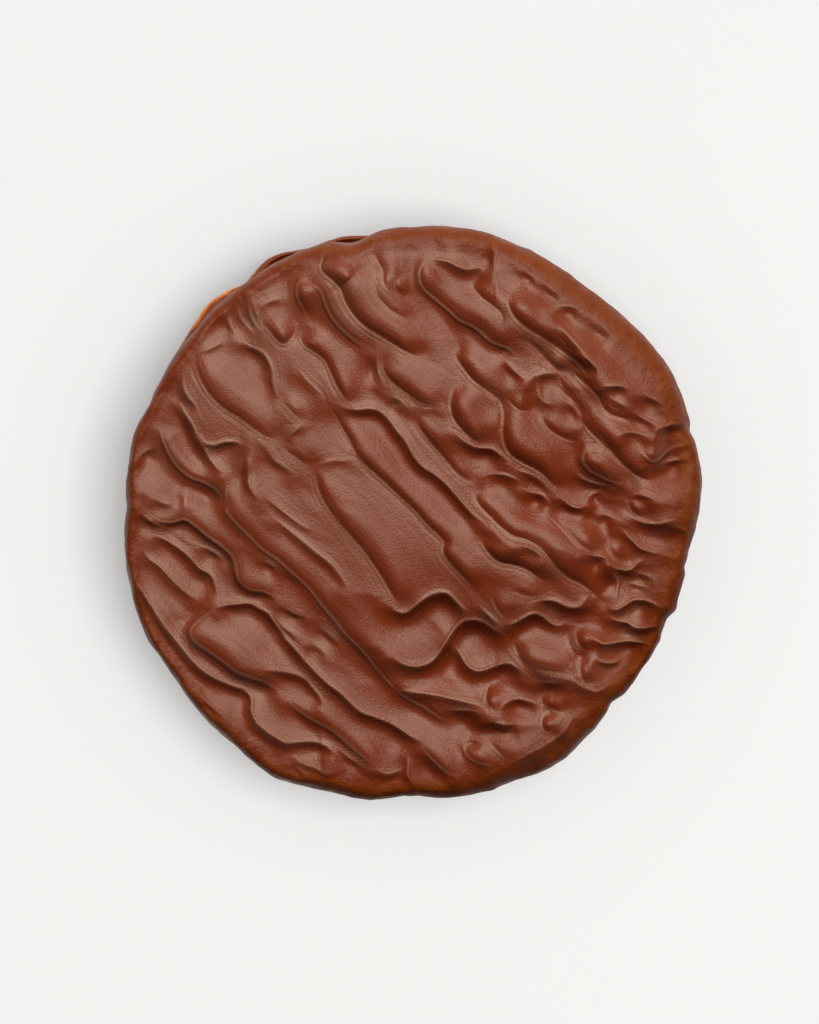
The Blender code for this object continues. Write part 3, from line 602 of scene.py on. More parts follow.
def seen_from_line(line, x, y):
    """How far each point is from a line, how far to its left, and how much of the fold's size
    is left beside it.

    Each short piece of the line votes, and near pieces count most, so that a fold turns with
    its line and has no seam inside a bend."""
    pieces = np.diff(line, axis=0)
    lengths = np.linalg.norm(pieces, axis=1)
    middles = (line[:-1] + line[1:]) / 2
    along = np.cumsum(lengths) - lengths / 2
    whole = lengths.sum()
    taper = min(FOLD_TAPER, whole / SHORT_FOLD_TAPERS)
    votes = np.zeros_like(x)
    side_votes = np.zeros_like(x)
    size_votes = np.zeros_like(x)
    for piece, length, middle, place in zip(pieces, lengths, middles, along):
        away_x = x - middle[0]
        away_y = y - middle[1]
        vote = length / (away_x**2 + away_y**2 + LINE_SOFTNESS) ** 2
        votes += vote
        side_votes += vote * (piece[0] * away_y - piece[1] * away_x) / length
        size_votes += vote * smooth_step(min(place, whole - place) / taper)
    # The votes of a long straight line add up to pi / 2 over the cube of the distance
    distance = (votes / (np.pi / 2)) ** (-1 / 3)
    return distance, side_votes / votes, size_votes / votes


def add_fold(relief, marks, x, y, rise_left, rise_right, width_left, width_right, points):
    """Adds one fold to the relief at x, y. It is steep beside its line and fades with distance.

    The marks keep how far each point is from the nearest line and from the next one, the side
    and strength of the nearest, and the bloom and painted sheen beside all of them."""
    line = smooth_line(points)
    low = line.min(axis=0) - FOLD_MARGIN
    high = line.max(axis=0) + FOLD_MARGIN
    near = (x > low[0]) & (x < high[0]) & (y > low[1]) & (y < high[1])
    distance, side, size = seen_from_line(line, x[near], y[near])
    rise = np.where(side > 0, rise_left, rise_right)
    rise = np.sign(rise) * np.abs(rise) ** FOLD_EVENNESS * FOLD_LIFT
    width = np.where(side > 0, width_left, width_right) * FOLD_SPREAD
    steep = 1 - np.exp(-((np.abs(side) / width) ** FOLD_ROUNDING))
    other_rise = np.where(side > 0, rise_right, rise_left) * FOLD_LIFT
    lip = np.where(rise == 0, other_rise * LIP_SHARE, 0) * (1 - np.exp(-np.abs(side) / LIP_WIDTH))
    fade = np.exp(-((distance / FOLD_REACH) ** FOLD_FADING))
    relief[near] += (rise * steep + lip) * fade * size

    known = marks["distance"][near]
    nearest = distance < known
    marks["second"][near] = np.minimum(marks["second"][near], np.maximum(distance, known))
    level = np.where(rise == 0, 1, BLOOM_AND_SHEEN_ON_SLOPE)
    marks["bloom_and_sheen"][near] += level * size * np.exp(-((distance / BLOOM_AND_SHEEN_REACH) ** 2))
    strength = size * (abs(rise_left) + abs(rise_right)) ** 0.5
    strength = strength * (1 - smooth_step((distance - MARK_START) / MARK_FADE))
    offset = LINE_OFFSET * (bool(rise_left) - bool(rise_right))
    for mark, value in (("distance", distance), ("side", side + offset), ("strength", strength)):
        marks[mark][near] = np.where(nearest, value, marks[mark][near])


def folds_over(x, y):
    """Relief of all the folds at x, y, and their marks."""
    relief = np.zeros_like(x)
    marks = {mark: np.zeros_like(x) for mark in ("side", "strength", "bloom_and_sheen")}
    marks["distance"] = np.full_like(x, FOLD_REACH)
    marks["second"] = np.full_like(x, FOLD_REACH)
    for fold in FOLDS:
        add_fold(relief, marks, x, y, *fold)
    return relief, marks


def uneven(place, finer):
    """Noise at a place, with a finer and lower one on it."""
    return noise.noise(place) + FINE_SHARE * noise.noise(place * finer)


def ripples(x, y):
    """Low wandering ripples, long the way the air blew and narrow across it."""
    blow = math.radians(BLOW_AZIMUTH)
    heights = np.empty_like(x)
    for index, (px, py) in enumerate(zip(x, y)):
        wander_place = Vector((px, py, 0)) / RIPPLE_WANDER_SIZE
        wander = noise.noise(wander_place) * RIPPLE_WANDER
        along = px * math.cos(blow) + py * math.sin(blow)
        across = py * math.cos(blow) - px * math.sin(blow) + wander
        place = Vector((along / RIPPLE_LENGTH, across / RIPPLE_WIDTH, RIPPLE_LAYER))
        heights[index] = uneven(place, FINER_RIPPLES)
    return heights * RIPPLE_HEIGHT


def lumps(x, y, z):
    """Rounded unevenness of the rim and the wall, large and small."""
    spots = zip(x / LUMP_SIZE, y / LUMP_SIZE, z / LUMP_SIZE)
    return np.array([uneven(Vector(spot), FINER_LUMPS) for spot in spots]) * LUMP_HEIGHT


def disc_grid(segments):
    """A square grid of quads as a mesh, with each point's ring, from 0 to segments / 2, and
    azimuth once the square is pulled into a disc."""
    shape = bmesh.new()
    bmesh.ops.create_grid(shape, x_segments=segments, y_segments=segments, size=1)
    flat = np.array([vertex.co for vertex in shape.verts])
    x = flat[:, 0]
    y = flat[:, 1]
    wide = np.abs(x) > np.abs(y)
    ring = np.where(wide, x, y)
    ratio = np.where(wide, y, x) / np.where(ring == 0, 1, ring)
    angle = np.where(wide, ratio * np.pi / 4, np.pi / 2 - ratio * np.pi / 4)
    azimuth = np.arctan2(ring * np.sin(angle), ring * np.cos(angle))
    return shape, np.abs(ring) * segments / 2, azimuth


def swellings_at(azimuth, swellings):
    """Sum of the swellings, each a centre and a half width in degrees and a height."""
    total = np.zeros_like(azimuth)
    for centre, half_width, height in swellings:
        offset = (np.degrees(azimuth) - centre + 180) % 360 - 180
        total += height * np.exp(-((offset / half_width) ** 2))
    return total


def outline(azimuth, swellings):
    """Radius of the edge at each azimuth."""
    radius = RADIUS + CENTRE_PULL[0] * np.cos(azimuth) + CENTRE_PULL[1] * np.sin(azimuth)
    for count, height in LOBES:
        radius += height * np.sin(count * azimuth)
    return radius + swellings_at(azimuth, swellings)


def rim_width(azimuth, width):
    """Width of the rim at each azimuth, from its middle width."""
    return width * (1 + RIM_WIDER_TO_RIGHT * np.cos(azimuth + math.radians(RIM_TURN)))


def section(ring, segments, rings, edge, width, bottom, top, rim_height):
    """Radius and height of each point, and its share of the top: 1 on the top, 0 on the wall.

    From the middle outwards the section is the top, a rounded rim, a wall and a small tuck
    under the bottom edge. rings holds how many rings the rim, the wall and the tuck take."""
    rim_rings, wall_rings, tuck_rings = rings
    tuck_start = segments / 2 - tuck_rings
    wall_start = tuck_start - wall_rings
    rim_start = wall_start - rim_rings
    inward = np.clip(ring / rim_start, 0, 1)
    turn = np.clip((ring - rim_start) / rim_rings, 0, 1) * np.pi / 2
    down = np.clip((ring - wall_start) / wall_rings, 0, 1)
    tuck = np.clip((ring - tuck_start) / tuck_rings, 0, 1) * np.pi / 2
    radius = (edge - width) * inward + width * np.sin(turn)
    radius -= BASE_EDGE * (1 - np.cos(tuck))
    wall = top - rim_height - bottom - BASE_EDGE
    height = top - rim_height * (1 - np.cos(turn))
    height -= wall * down + BASE_EDGE * np.sin(tuck)
    on_top = 1 - smooth_step(turn / np.radians(TOP_TURN))
    return radius, height, on_top


def centred(x, y, low, high):
    """The points, moved until the middle of their box is that of the solid's."""
    middle = (low + high) / 2 / MM
    shift_x = middle.x - (x.min() + x.max()) / 2
    shift_y = middle.y - (y.min() + y.max()) / 2
    return x + shift_x, y + shift_y


def layer_piece(name, shape, places, features):
    """Moves the grid's points to their places, closes the flat base and makes the object. Each
    feature is a value per point that the chocolate's material reads."""
    border = [edge for edge in shape.edges if edge.is_boundary]
    bmesh.ops.edgeloop_fill(shape, edges=border)
    for vertex, place in zip(shape.verts, places):
        vertex.co = place * MM
    shape.normal_update()
    bmesh.ops.recalc_face_normals(shape, faces=shape.faces)
    for face in shape.faces:
        face.smooth = len(face.verts) == 4
    data = bpy.data.meshes.new(name)
    shape.to_mesh(data)
    shape.free()
    for feature, values in features.items():
        layer = data.attributes.new(feature, "FLOAT", "POINT")
        layer.data.foreach_set("value", values.astype(np.float32))
    made = bpy.data.objects.new(name, data)
    bpy.context.collection.objects.link(made)
    return made


def bloom_and_sheen_over(x, y, azimuth, inside, rim, beside_lines):
    """How much pale bloom and painted sheen lie at x, y, from how far inside the edge that is, its
    share of the rim and the bloom and sheen beside the lines."""
    # The haze is painted sheen. It and the film beside the lines grow to the left as painted light
    sheen_side = math.radians(PAINTED_SHEEN_AZIMUTH)
    toward = (x * math.cos(sheen_side) + y * math.sin(sheen_side)) / RADIUS
    painted_haze = PAINTED_SHEEN_HAZE * ((1 + toward) / 2) ** 2 * (1 - rim)
    bloom_and_sheen = beside_lines * (1 + PAINTED_SHEEN_SLOPE * toward) * (1 - rim / 2) + painted_haze
    # A patch right of the middle keeps little of the bloom and sheen, and is left darker as painted shade
    away = ((x - SHADED_PATCH_PLACE[0]) ** 2 + (y - SHADED_PATCH_PLACE[1]) ** 2) / SHADED_PATCH_REACH**2
    bloom_and_sheen *= 1 - SHADED_PATCH_SHARE * np.exp(-away)
    shoulder = np.exp(-(((inside - SHOULDER_INSIDE) / SHOULDER_WIDTH) ** 2))
    return bloom_and_sheen + shoulder * swellings_at(azimuth, SHOULDER_BLOOM_AND_SHEEN)


def upper_layer():
    shape, ring, azimuth = disc_grid(UPPER_SEGMENTS)
    low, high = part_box("upper_layer")
    edge = outline(azimuth, UPPER_EDGE)
    width = rim_width(azimuth, RIM_WIDTH) + swellings_at(azimuth, RIM_SPREADS)
    rings = (RIM_RINGS, WALL_RINGS, TUCK_RINGS)
    radius, height, on_top = section(
        ring, UPPER_SEGMENTS, rings, edge, width, low.z / MM, UPPER_TOP, RIM_HEIGHT
    )
    inside = edge - radius
    x = radius * np.cos(azimuth)
    y = radius * np.sin(azimuth)
    height -= DOME_DROP * (radius / RADIUS) ** 3 * on_top
    crest = BULGE_INSIDE - BULGE_SHIFT * np.cos(azimuth - math.radians(BULGE_AZIMUTH))
    height += BULGE_HEIGHT * np.exp(-(((inside - crest) / BULGE_WIDTH) ** 2)) * on_top
    relief, marks = folds_over(x, y)
    relief += ripples(x, y)
    height += relief * on_top
    outwards = ring / (UPPER_SEGMENTS / 2)
    bulge = lumps(x, y, height) * np.clip((outwards - LUMPS_START) / LUMPS_GROW, 0, 1)
    height += bulge * on_top
    x, y = centred(x + bulge * np.cos(azimuth), y + bulge * np.sin(azimuth), low, high)

    rim = 1 - smooth_step(inside / width - RIM_TONE_START)
    apart = smooth_step((marks["second"] - marks["distance"]) / MARK_GAP)
    features = {
        "fold_height": relief,
        "line_side": marks["side"],
        "line_strength": marks["strength"] * apart * on_top,
        "hair_share": marks["bloom_and_sheen"] * apart * on_top,
        "bloom_and_sheen_share": bloom_and_sheen_over(x, y, azimuth, inside, rim, marks["bloom_and_sheen"]) * on_top,
        "edge_share": rim,
        "matte_and_shade_share": rim * (MATTE_AND_SHADE_ELSEWHERE + swellings_at(azimuth, MATTE_AND_SHADE_STRETCHES)),
    }
    return layer_piece("upper_coat", shape, np.stack([x, y, height], axis=1), features)


def linear(hex_colour):
    """An sRGB hex colour as linear RGBA."""
    values = []
    for start in (0, 2, 4):
        share = int(hex_colour[start : start + 2], 16) / 255
        values.append(share / 12.92 if share <= 0.04045 else ((share + 0.055) / 1.055) ** 2.4)
    return (*values, 1)


def add_node(tree, kind, settings=None, links=None):
    """Adds a node, sets its properties and input values, and links its inputs, each to a socket
    or to a node's first output."""
    node = tree.nodes.new(kind)
    for key, value in (settings or {}).items():
        if isinstance(key, str) and hasattr(node, key):
            setattr(node, key, value)
        else:
            node.inputs[key].default_value = value
    for key, source in (links or {}).items():
        if isinstance(source, bpy.types.Node):
            source = source.outputs[0]
        tree.links.new(source, node.inputs[key])
    return node


# Milk chocolate is sugar, cocoa and milk in cocoa butter. Its refractive index is about 1.46,
# and its reflections are a little warm. A blown coat sets satin, with a fine grain. On the rim
# it is thinner, rougher and more matte, and the biscuit under it makes it lumpy.
CHOCOLATE_IOR = 1.46
CHOCOLATE_SHEEN = (1, 0.94, 0.76, 1)
ROUGHNESS = (0.34, 0.45)
RIM_ROUGHNESS = 0.1
SPECULAR = 0.5
MATTE_SPECULAR_LOSS = 0.45

# Lines that ran along the folds while the coat set, one for about each HEIGHT_STEP up a fold and
# SIDE_STEP beside its line, their depths, and the ridge on the line itself
HEIGHT_STEP = 0.17
SIDE_STEP = 0.3
LINE_RUN = 7.0
LINE_DEPTH = 0.04
HAIR_DEPTH = 0.05
RIDGE_REACH = 0.35
RIDGE_DEPTH = 0.08

# Sizes and depths of the surface, from its grain to its slow waves, and of the rim's crust
SURFACE = ((0.2, 0.042), (0.6, 0.03), (1.3, 0.02))
CRUST_SIZE = 2.2
CRUST_DEPTH = 0.6

# The clouds of tone, the shares of the bloom and painted sheen between its streaks and in them,
# of the painted highlight on the ridges, of the rim's tone between its patches and in them, and
# of the painted shade where the coat is matte. The spans are the stretches of a noise that each of
# these runs over.
CLOUD_SIZE = 5.0
NOISE_SPAN = (0.3, 0.7)
STREAK_SPAN = (0.35, 0.65)
STREAK_BLOOM_AND_SHEEN = (0.13, 0.47)
PAINTED_CREST_HIGHLIGHT = 0.5
RIM_PATCHES = (0.0, 1.6)
PAINTED_SHADE_SHARE = 0.4

# Pale specks painted as glints: spacing, radius and the share of the places that have one
SPECK_SPACING = 1.9
SPECK_SIZE = 0.1
SPECKS_KEPT = 0.45

# What a layer may write on each point for this material. What it leaves out reads as 0.
FEATURES = (
    "fold_height",
    "line_side",
    "line_strength",
    "hair_share",
    "bloom_and_sheen_share",
    "edge_share",
    "matte_and_shade_share",
)


def milk_chocolate(name, base, deep, bloom_and_sheen, rim, painted_shade_tone, glint_speck):
    """Satin milk chocolate, set from a blown coat: lines along the folds, grain, specks painted as
    glints, pale bloom with painted sheen and highlights, and painted shade where it is matte.
    """
    material = bpy.data.materials.new(name)
    material.use_nodes = True
    tree = material.node_tree
    shader = tree.nodes["Principled BSDF"]
    shader.inputs["IOR"].default_value = CHOCOLATE_IOR
    shader.inputs["Specular Tint"].default_value = CHOCOLATE_SHEEN
    where = add_node(tree, "ShaderNodeTexCoord").outputs["Object"]
    in_mm = {"operation": "SCALE", "Scale": 1 / MM}
    place = add_node(tree, "ShaderNodeVectorMath", in_mm, {0: where})
    marks = {}
    for mark in FEATURES:
        read = add_node(tree, "ShaderNodeAttribute", {"attribute_name": mark})
        marks[mark] = read.outputs["Fac"]

    # Noise that changes fast across a fold and slowly along it draws lines in the coat
    slow = {"operation": "SCALE", "Scale": 1 / LINE_RUN}
    along = add_node(tree, "ShaderNodeVectorMath", slow, {0: place})
    drawn = []
    for mark, step in (("fold_height", HEIGHT_STEP), ("line_side", SIDE_STEP)):
        count = {"operation": "DIVIDE", 1: step}
        steps = add_node(tree, "ShaderNodeMath", count, {0: marks[mark]})
        upward = add_node(tree, "ShaderNodeCombineXYZ", None, {"Z": steps})
        both = {0: along, 1: upward}
        across = add_node(tree, "ShaderNodeVectorMath", {"operation": "ADD"}, both)
        plain = {"Scale": 1, "Detail": 1}
        drawn.append(add_node(tree, "ShaderNodeTexNoise", plain, {"Vector": across}))
    lines, hairs = drawn
    beside = {0: hairs, 1: marks["hair_share"]}
    fading_hairs = add_node(tree, "ShaderNodeMath", {"operation": "MULTIPLY"}, beside)

    # The ridge stands on the line and fades with the fold's strength
    away = add_node(tree, "ShaderNodeMath", {"operation": "ABSOLUTE"}, {0: marks["line_side"]})
    fall = {"interpolation_type": "SMOOTHSTEP", "From Max": RIDGE_REACH, "To Min": 1, "To Max": 0}
    crest = add_node(tree, "ShaderNodeMapRange", fall, {"Value": away})
    fading = {0: crest, 1: marks["line_strength"]}
    ridge = add_node(tree, "ShaderNodeMath", {"operation": "MULTIPLY"}, fading)

    # Crust makes the rim and the matte walls lumpy
    crust_size = {"Scale": 1 / CRUST_SIZE, "Detail": 3}
    crust = add_node(tree, "ShaderNodeTexNoise", crust_size, {"Vector": place})
    outside = {0: marks["edge_share"], 1: marks["matte_and_shade_share"]}
    crusty = add_node(tree, "ShaderNodeMath", {"operation": "MAXIMUM"}, outside)
    on_rim = {0: crust, 1: crusty}
    rim_crust = add_node(tree, "ShaderNodeMath", {"operation": "MULTIPLY"}, on_rim)

    # The relief is the sum of all these and the grain
    fields = [(lines, LINE_DEPTH), (fading_hairs, HAIR_DEPTH), (rim_crust, CRUST_DEPTH)]
    for size, depth in SURFACE:
        grain = {"Scale": 1 / size, "Detail": 2}
        fields.append((add_node(tree, "ShaderNodeTexNoise", grain, {"Vector": place}), depth))
    ridge_depth = {"operation": "MULTIPLY", 1: RIDGE_DEPTH}
    height = add_node(tree, "ShaderNodeMath", ridge_depth, {0: ridge})
    for field, depth in fields:
        scaled = {"operation": "MULTIPLY_ADD", 1: depth}
        height = add_node(tree, "ShaderNodeMath", scaled, {0: field, 2: height})
    relief = {"Strength": 1, "Distance": MM}
    bump = add_node(tree, "ShaderNodeBump", relief, {"Height": height})
    tree.links.new(bump.outputs["Normal"], shader.inputs["Normal"])

    # Slow clouds of satin, rougher on the rim and less glossy where it is matte
    slow_noise = {"Scale": 1 / CLOUD_SIZE, "Detail": 2}
    cloud = add_node(tree, "ShaderNodeTexNoise", slow_noise, {"Vector": place})
    span = {"From Min": NOISE_SPAN[0], "From Max": NOISE_SPAN[1]}
    ends = {**span, "To Min": ROUGHNESS[0], "To Max": ROUGHNESS[1]}
    satin = add_node(tree, "ShaderNodeMapRange", ends, {"Value": cloud})
    more = {"operation": "MULTIPLY_ADD", 1: RIM_ROUGHNESS}
    rough = add_node(tree, "ShaderNodeMath", more, {0: marks["edge_share"], 2: satin})
    tree.links.new(rough.outputs[0], shader.inputs["Roughness"])
    less = {"operation": "MULTIPLY_ADD", 1: -MATTE_SPECULAR_LOSS, 2: SPECULAR}
    specular = add_node(tree, "ShaderNodeMath", less, {0: marks["matte_and_shade_share"]})
    tree.links.new(specular.outputs[0], shader.inputs["Specular IOR Level"])

    # Tone: cloudy chocolate, then the streaky bloom with painted sheen and crest highlights, the
    # patchy rim, and painted shade where the coat is matte
    two_tones = {"data_type": "RGBA", 6: linear(base), 7: linear(deep)}
    tones = add_node(tree, "ShaderNodeMix", two_tones, {0: cloud})
    streak_span = {"From Min": STREAK_SPAN[0], "From Max": STREAK_SPAN[1]}
    streaky = {**streak_span, "To Min": STREAK_BLOOM_AND_SHEEN[0], "To Max": STREAK_BLOOM_AND_SHEEN[1]}
    streaks = add_node(tree, "ShaderNodeMapRange", streaky, {"Value": hairs})
    stretched = {0: marks["bloom_and_sheen_share"], 1: streaks}
    beside_lines = add_node(tree, "ShaderNodeMath", {"operation": "MULTIPLY"}, stretched)
    # The crests of the ridges are painted pale too, as a painted highlight
    on_lines = {"operation": "MULTIPLY_ADD", "use_clamp": True, 1: PAINTED_CREST_HIGHLIGHT}
    bloom_and_sheen_share = add_node(tree, "ShaderNodeMath", on_lines, {0: ridge, 2: beside_lines})
    bloom_and_sheen_tone = {"data_type": "RGBA", 7: linear(bloom_and_sheen)}
    with_bloom_and_sheen = add_node(tree, "ShaderNodeMix", bloom_and_sheen_tone, {0: bloom_and_sheen_share, 6: tones.outputs[2]})
    patches = {**span, "To Min": RIM_PATCHES[0], "To Max": RIM_PATCHES[1]}
    patchy = add_node(tree, "ShaderNodeMapRange", patches, {"Value": rim_crust})
    thin = {0: marks["edge_share"], 1: patchy}
    clamped = {"operation": "MULTIPLY", "use_clamp": True}
    rim_share = add_node(tree, "ShaderNodeMath", clamped, thin)
    rim_tone = {"data_type": "RGBA", 7: linear(rim)}
    rimmed = add_node(tree, "ShaderNodeMix", rim_tone, {0: rim_share, 6: with_bloom_and_sheen.outputs[2]})
    # A darker tone is painted on the matte rim and walls as painted shade, most at the bottom and lower
    # right
    painted_shade_mix = {"data_type": "RGBA", 7: linear(painted_shade_tone)}
    painted_shade_amount = {"operation": "MULTIPLY", 1: PAINTED_SHADE_SHARE}
    painted_shade = add_node(tree, "ShaderNodeMath", painted_shade_amount, {0: marks["matte_and_shade_share"]})
    shaded = add_node(tree, "ShaderNodeMix", painted_shade_mix, {0: painted_shade, 6: rimmed.outputs[2]})

    # Specks are small dots in some of the cells of a scattered pattern, painted as glints
    spread = {"Scale": 1 / SPECK_SPACING}
    cells = add_node(tree, "ShaderNodeTexVoronoi", spread, {"Vector": place})
    small = {"operation": "LESS_THAN", 1: SPECK_SIZE / SPECK_SPACING}
    dots = add_node(tree, "ShaderNodeMath", small, {0: cells.outputs["Distance"]})
    few = {"operation": "LESS_THAN", 1: SPECKS_KEPT}
    kept = add_node(tree, "ShaderNodeMath", few, {0: cells.outputs["Color"]})
    glint_specks = add_node(tree, "ShaderNodeMath", {"operation": "MULTIPLY"}, {0: dots, 1: kept})
    glint_speck_tone = {"data_type": "RGBA", 7: linear(glint_speck)}
    with_glint_specks = add_node(tree, "ShaderNodeMix", glint_speck_tone, {0: glint_specks, 6: shaded.outputs[2]})
    tree.links.new(with_glint_specks.outputs[2], shader.inputs["Base Color"])
    return material


upper = upper_layer()
coat = milk_chocolate(
    "milk_chocolate_upper_coat",
    base="7E2D0A",
    deep="752709",
    bloom_and_sheen="94614A",
    rim="843A10",
    painted_shade_tone="5A230A",
    glint_speck="A8592F",
)
upper.data.materials.append(coat)
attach(upper, "root")
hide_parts("upper_layer")


# ---------------------------------------------------------------------------------------------
# Lower layer: a second coated biscuit under the first, a little wider at the upper left. Its
# coat is thin along that edge, so that the baked biscuit tints it orange, and has set there
# with a groove in its top.
# ---------------------------------------------------------------------------------------------

# Its rings are given as those of the rim, the wall and the tuck. Its wall is matte and has
# painted shade.
LOWER_SEGMENTS = 220
LOWER_RINGS = (16, 8, 4)
LOWER_RIM = 1.6
LOWER_INSET = 0.35
LOWER_MATTE_AND_SHADE = 0.6

# The groove runs inside the edge, and fades out over GROOVE_FADE degrees past GROOVE_END
GROOVE_INSIDE = 0.85
GROOVE_WIDTH = 0.35
GROOVE_DEPTH = 1.3
GROOVE_END = 117
GROOVE_FADE = 8

# The thin stretch: its middle and half width in degrees, how far inside the edge it reaches, the
# height that it starts at, the height that it takes to grow, and its strength
THIN_AZIMUTH = 134
THIN_WIDTH = 13
THIN_REACH = 0.9
THIN_FLOOR = 4.6
THIN_FADE = 1.0
THIN_SHARE = 1.35

LOWER_EDGE = (
    (8, 5, 0.35),
    (51, 12, -0.5),
    (61, 7, 0.45),
    (106, 5, 0.75),
    (119, 7, 1.55),
    (127, 1.8, -0.35),
    (135, 8, 1.65),
    (147, 5, 0.6),
    (214, 7, -0.5),
    (270, 6, -0.85),
    (317, 6, -0.4),
)


def lower_layer():
    shape, ring, azimuth = disc_grid(LOWER_SEGMENTS)
    low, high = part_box("lower_layer")
    edge = outline(azimuth, LOWER_EDGE) - LOWER_INSET
    width = rim_width(azimuth, LOWER_RIM)
    radius, height, on_top = section(
        ring, LOWER_SEGMENTS, LOWER_RINGS, edge, width, 0, high.z / MM, LOWER_RIM
    )
    inside = edge - radius
    degrees = np.degrees(azimuth)
    groove = GROOVE_DEPTH * (1 - smooth_step((degrees - GROOVE_END) / GROOVE_FADE))
    height -= groove * np.exp(-(((inside - GROOVE_INSIDE) / GROOVE_WIDTH) ** 2)) * on_top
    bulge = lumps(radius * np.cos(azimuth), radius * np.sin(azimuth), height) * (1 - on_top)
    radius += bulge
    x, y = centred(radius * np.cos(azimuth), radius * np.sin(azimuth), low, high)

    thin = np.exp(-(((degrees - THIN_AZIMUTH) / THIN_WIDTH) ** 2))
    high_up = smooth_step((height - THIN_FLOOR) / THIN_FADE)
    edge_share = THIN_SHARE * thin * (1 - smooth_step(inside / THIN_REACH)) * high_up
    matte_and_shade_share = LOWER_MATTE_AND_SHADE * (1 - on_top) * np.clip(1 - edge_share, 0, 1)
    features = {"edge_share": edge_share, "matte_and_shade_share": matte_and_shade_share}
    return layer_piece("lower_coat", shape, np.stack([x, y, height], axis=1), features)


lower = lower_layer()
thin_coat = milk_chocolate(
    "milk_chocolate_lower_coat",
    base="84370F",
    deep="792D0B",
    bloom_and_sheen="94614A",
    rim="E07818",
    painted_shade_tone="5A230A",
    glint_speck="B87040",
)
lower.data.materials.append(thin_coat)
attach(lower, "root")
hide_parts("lower_layer")


# ---------------------------------------------------------------------------------------------
# Floor: a sheet of opal acrylic over a light, as small products are laid on. Part of its white
# comes from below, so the cookie's shadow on it is soft and pale.
# ---------------------------------------------------------------------------------------------

# Opal acrylic is milky, and this sheet is matt, so that it shows no reflection
FLOOR_SIDE = 4000
FLOOR_ROUGHNESS = 0.9
FLOOR_GLOW = 0.3


def acrylic_sheet():
    shape = bmesh.new()
    bmesh.ops.create_grid(shape, x_segments=1, y_segments=1, size=FLOOR_SIDE / 2 * MM)
    data = bpy.data.meshes.new("floor")
    shape.to_mesh(data)
    shape.free()
    made = bpy.data.objects.new("floor", data)
    # The glow under the sheet shines through it, and stands in for its light on the cookie
    made.visible_diffuse = False
    made.visible_shadow = False
    bpy.context.collection.objects.link(made)
    return made


def opal_acrylic(name, base, glow):
    material = bpy.data.materials.new(name)
    material.use_nodes = True
    shader = material.node_tree.nodes["Principled BSDF"]
    shader.inputs["Base Color"].default_value = linear(base)
    shader.inputs["Roughness"].default_value = FLOOR_ROUGHNESS
    shader.inputs["Specular IOR Level"].default_value = 0.0
    shader.inputs["Emission Color"].default_value = linear(glow)
    shader.inputs["Emission Strength"].default_value = FLOOR_GLOW
    return material


floor = acrylic_sheet()
floor.data.materials.append(opal_acrylic("opal_acrylic", base="616160", glow="FFFEFC"))


# ---------------------------------------------------------------------------------------------
# Light and camera: one large soft box beyond the cookie's top edge and a faint warm glow under
# the sheet light the cookie, and a dome and a wash from the right light the floor alone. The room
# is dim, and a long lens looks straight down.
# ---------------------------------------------------------------------------------------------

# Distances, sides and depths of the lights are in metres
KEY_AZIMUTH = 77
KEY_TILT = 38
KEY_DISTANCE = 0.9
KEY_SIDE = 0.8
KEY_POWER = 10.6
WASH_AZIMUTH = -8
WASH_TILT = 15
WASH_DISTANCE = 1.0
WASH_SIDE = 0.55
WASH_POWER = 36
DOME_DISTANCE = 1.0
DOME_SIDE = 3.0
DOME_POWER = 70
GLOW_DEPTH = 0.01
GLOW_SIDE = 0.13
GLOW_POWER = 0.09
GLOW_TINT = (1, 0.72, 0.62)
ROOM_TONE = "FFFFFF"
ROOM_LIGHT = 0.05

# The lens shows VIEW_HEIGHT of what lies at FOCUS_HEIGHT above the floor
LENS = 200
SENSOR = 36
VIEW_HEIGHT = 122.88
VIEW_CENTRE = (-0.48, 0.12)
FOCUS_HEIGHT = 12
NEAREST_SEEN = 10
FURTHEST_SEEN = 20000


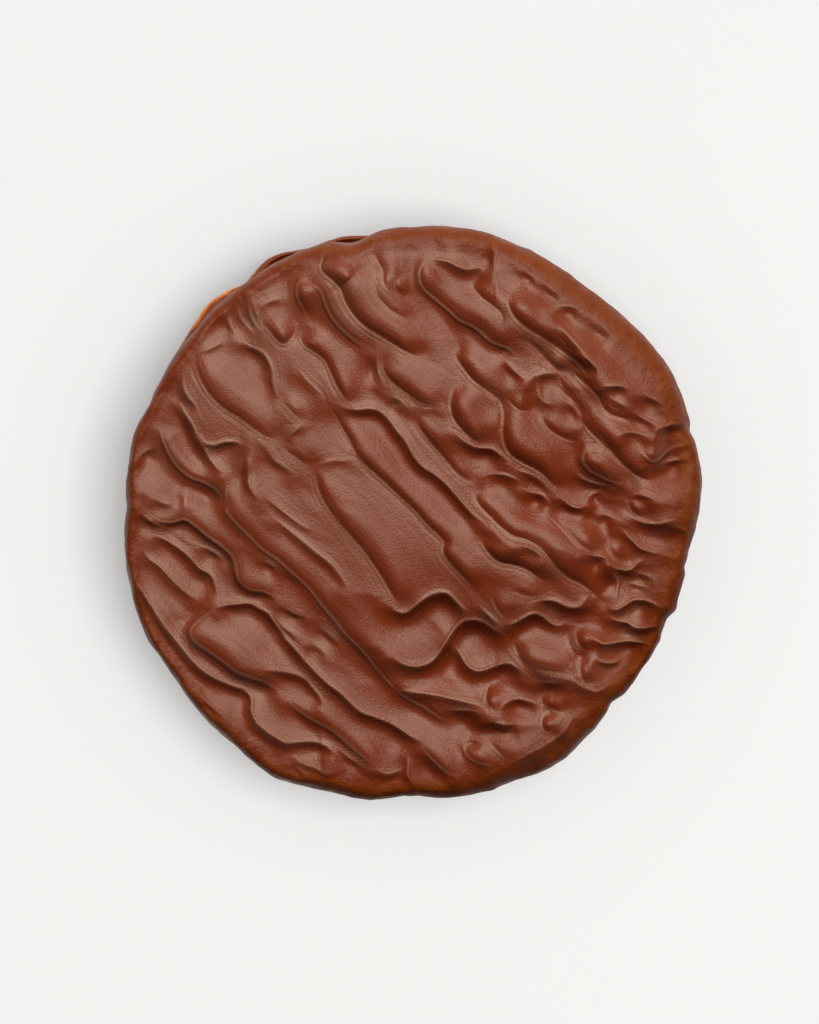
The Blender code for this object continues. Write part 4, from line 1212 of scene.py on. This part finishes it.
def soft_box(name, azimuth, tilt, distance, side, power):
    """A square light that faces the cookie. The tilt is from straight above."""
    light = bpy.data.lights.new(name, "AREA")
    light.shape = "SQUARE"
    light.size = side
    light.energy = power
    made = bpy.data.objects.new(name, light)
    away = Vector((math.tan(math.radians(tilt)), 0, 1)).normalized()
    away.rotate(Euler((0, 0, math.radians(azimuth))))
    made.location = away * distance
    made.rotation_euler = away.to_track_quat("Z", "Y").to_euler()
    bpy.context.collection.objects.link(made)
    return made


def sheet_glow():
    """A round light under the sheet that shines upwards."""
    light = bpy.data.lights.new("sheet_glow", "AREA")
    light.shape = "DISK"
    light.size = GLOW_SIDE
    light.energy = GLOW_POWER
    light.color = GLOW_TINT
    made = bpy.data.objects.new("sheet_glow", light)
    made.location.z = -GLOW_DEPTH
    made.rotation_euler.x = math.pi
    bpy.context.collection.objects.link(made)
    return made


def light_only(name, lights, pieces):
    """Lets the lights fall on these pieces alone."""
    lit = bpy.data.collections.new(name)
    for piece in pieces:
        lit.objects.link(piece)
    for light in lights:
        light.light_linking.receiver_collection = lit


def dim_room():
    world = bpy.data.worlds.new("dim_room")
    world.use_nodes = True
    background = world.node_tree.nodes["Background"]
    background.inputs["Color"].default_value = linear(ROOM_TONE)
    background.inputs["Strength"].default_value = ROOM_LIGHT
    bpy.context.scene.world = world


def overhead_camera():
    camera = bpy.data.cameras.new("camera")
    camera.lens = LENS
    camera.sensor_width = SENSOR
    camera.clip_start = NEAREST_SEEN * MM
    camera.clip_end = FURTHEST_SEEN * MM
    made = bpy.data.objects.new("camera", camera)
    height = FOCUS_HEIGHT + VIEW_HEIGHT * LENS / SENSOR
    made.location = Vector((*VIEW_CENTRE, height)) * MM
    bpy.context.collection.objects.link(made)
    bpy.context.scene.camera = made


key = soft_box("key_soft_box", KEY_AZIMUTH, KEY_TILT, KEY_DISTANCE, KEY_SIDE, KEY_POWER)
dome = soft_box("floor_dome", 0, 0, DOME_DISTANCE, DOME_SIDE, DOME_POWER)
wash = soft_box("floor_wash", WASH_AZIMUTH, WASH_TILT, WASH_DISTANCE, WASH_SIDE, WASH_POWER)
light_only("washed", (wash, dome), (floor,))
light_only("coated", (sheet_glow(), key), (upper, lower))
dim_room()
overhead_camera()
bpy.context.scene.view_settings.view_transform = "Standard"

bpy.context.view_layer.update()
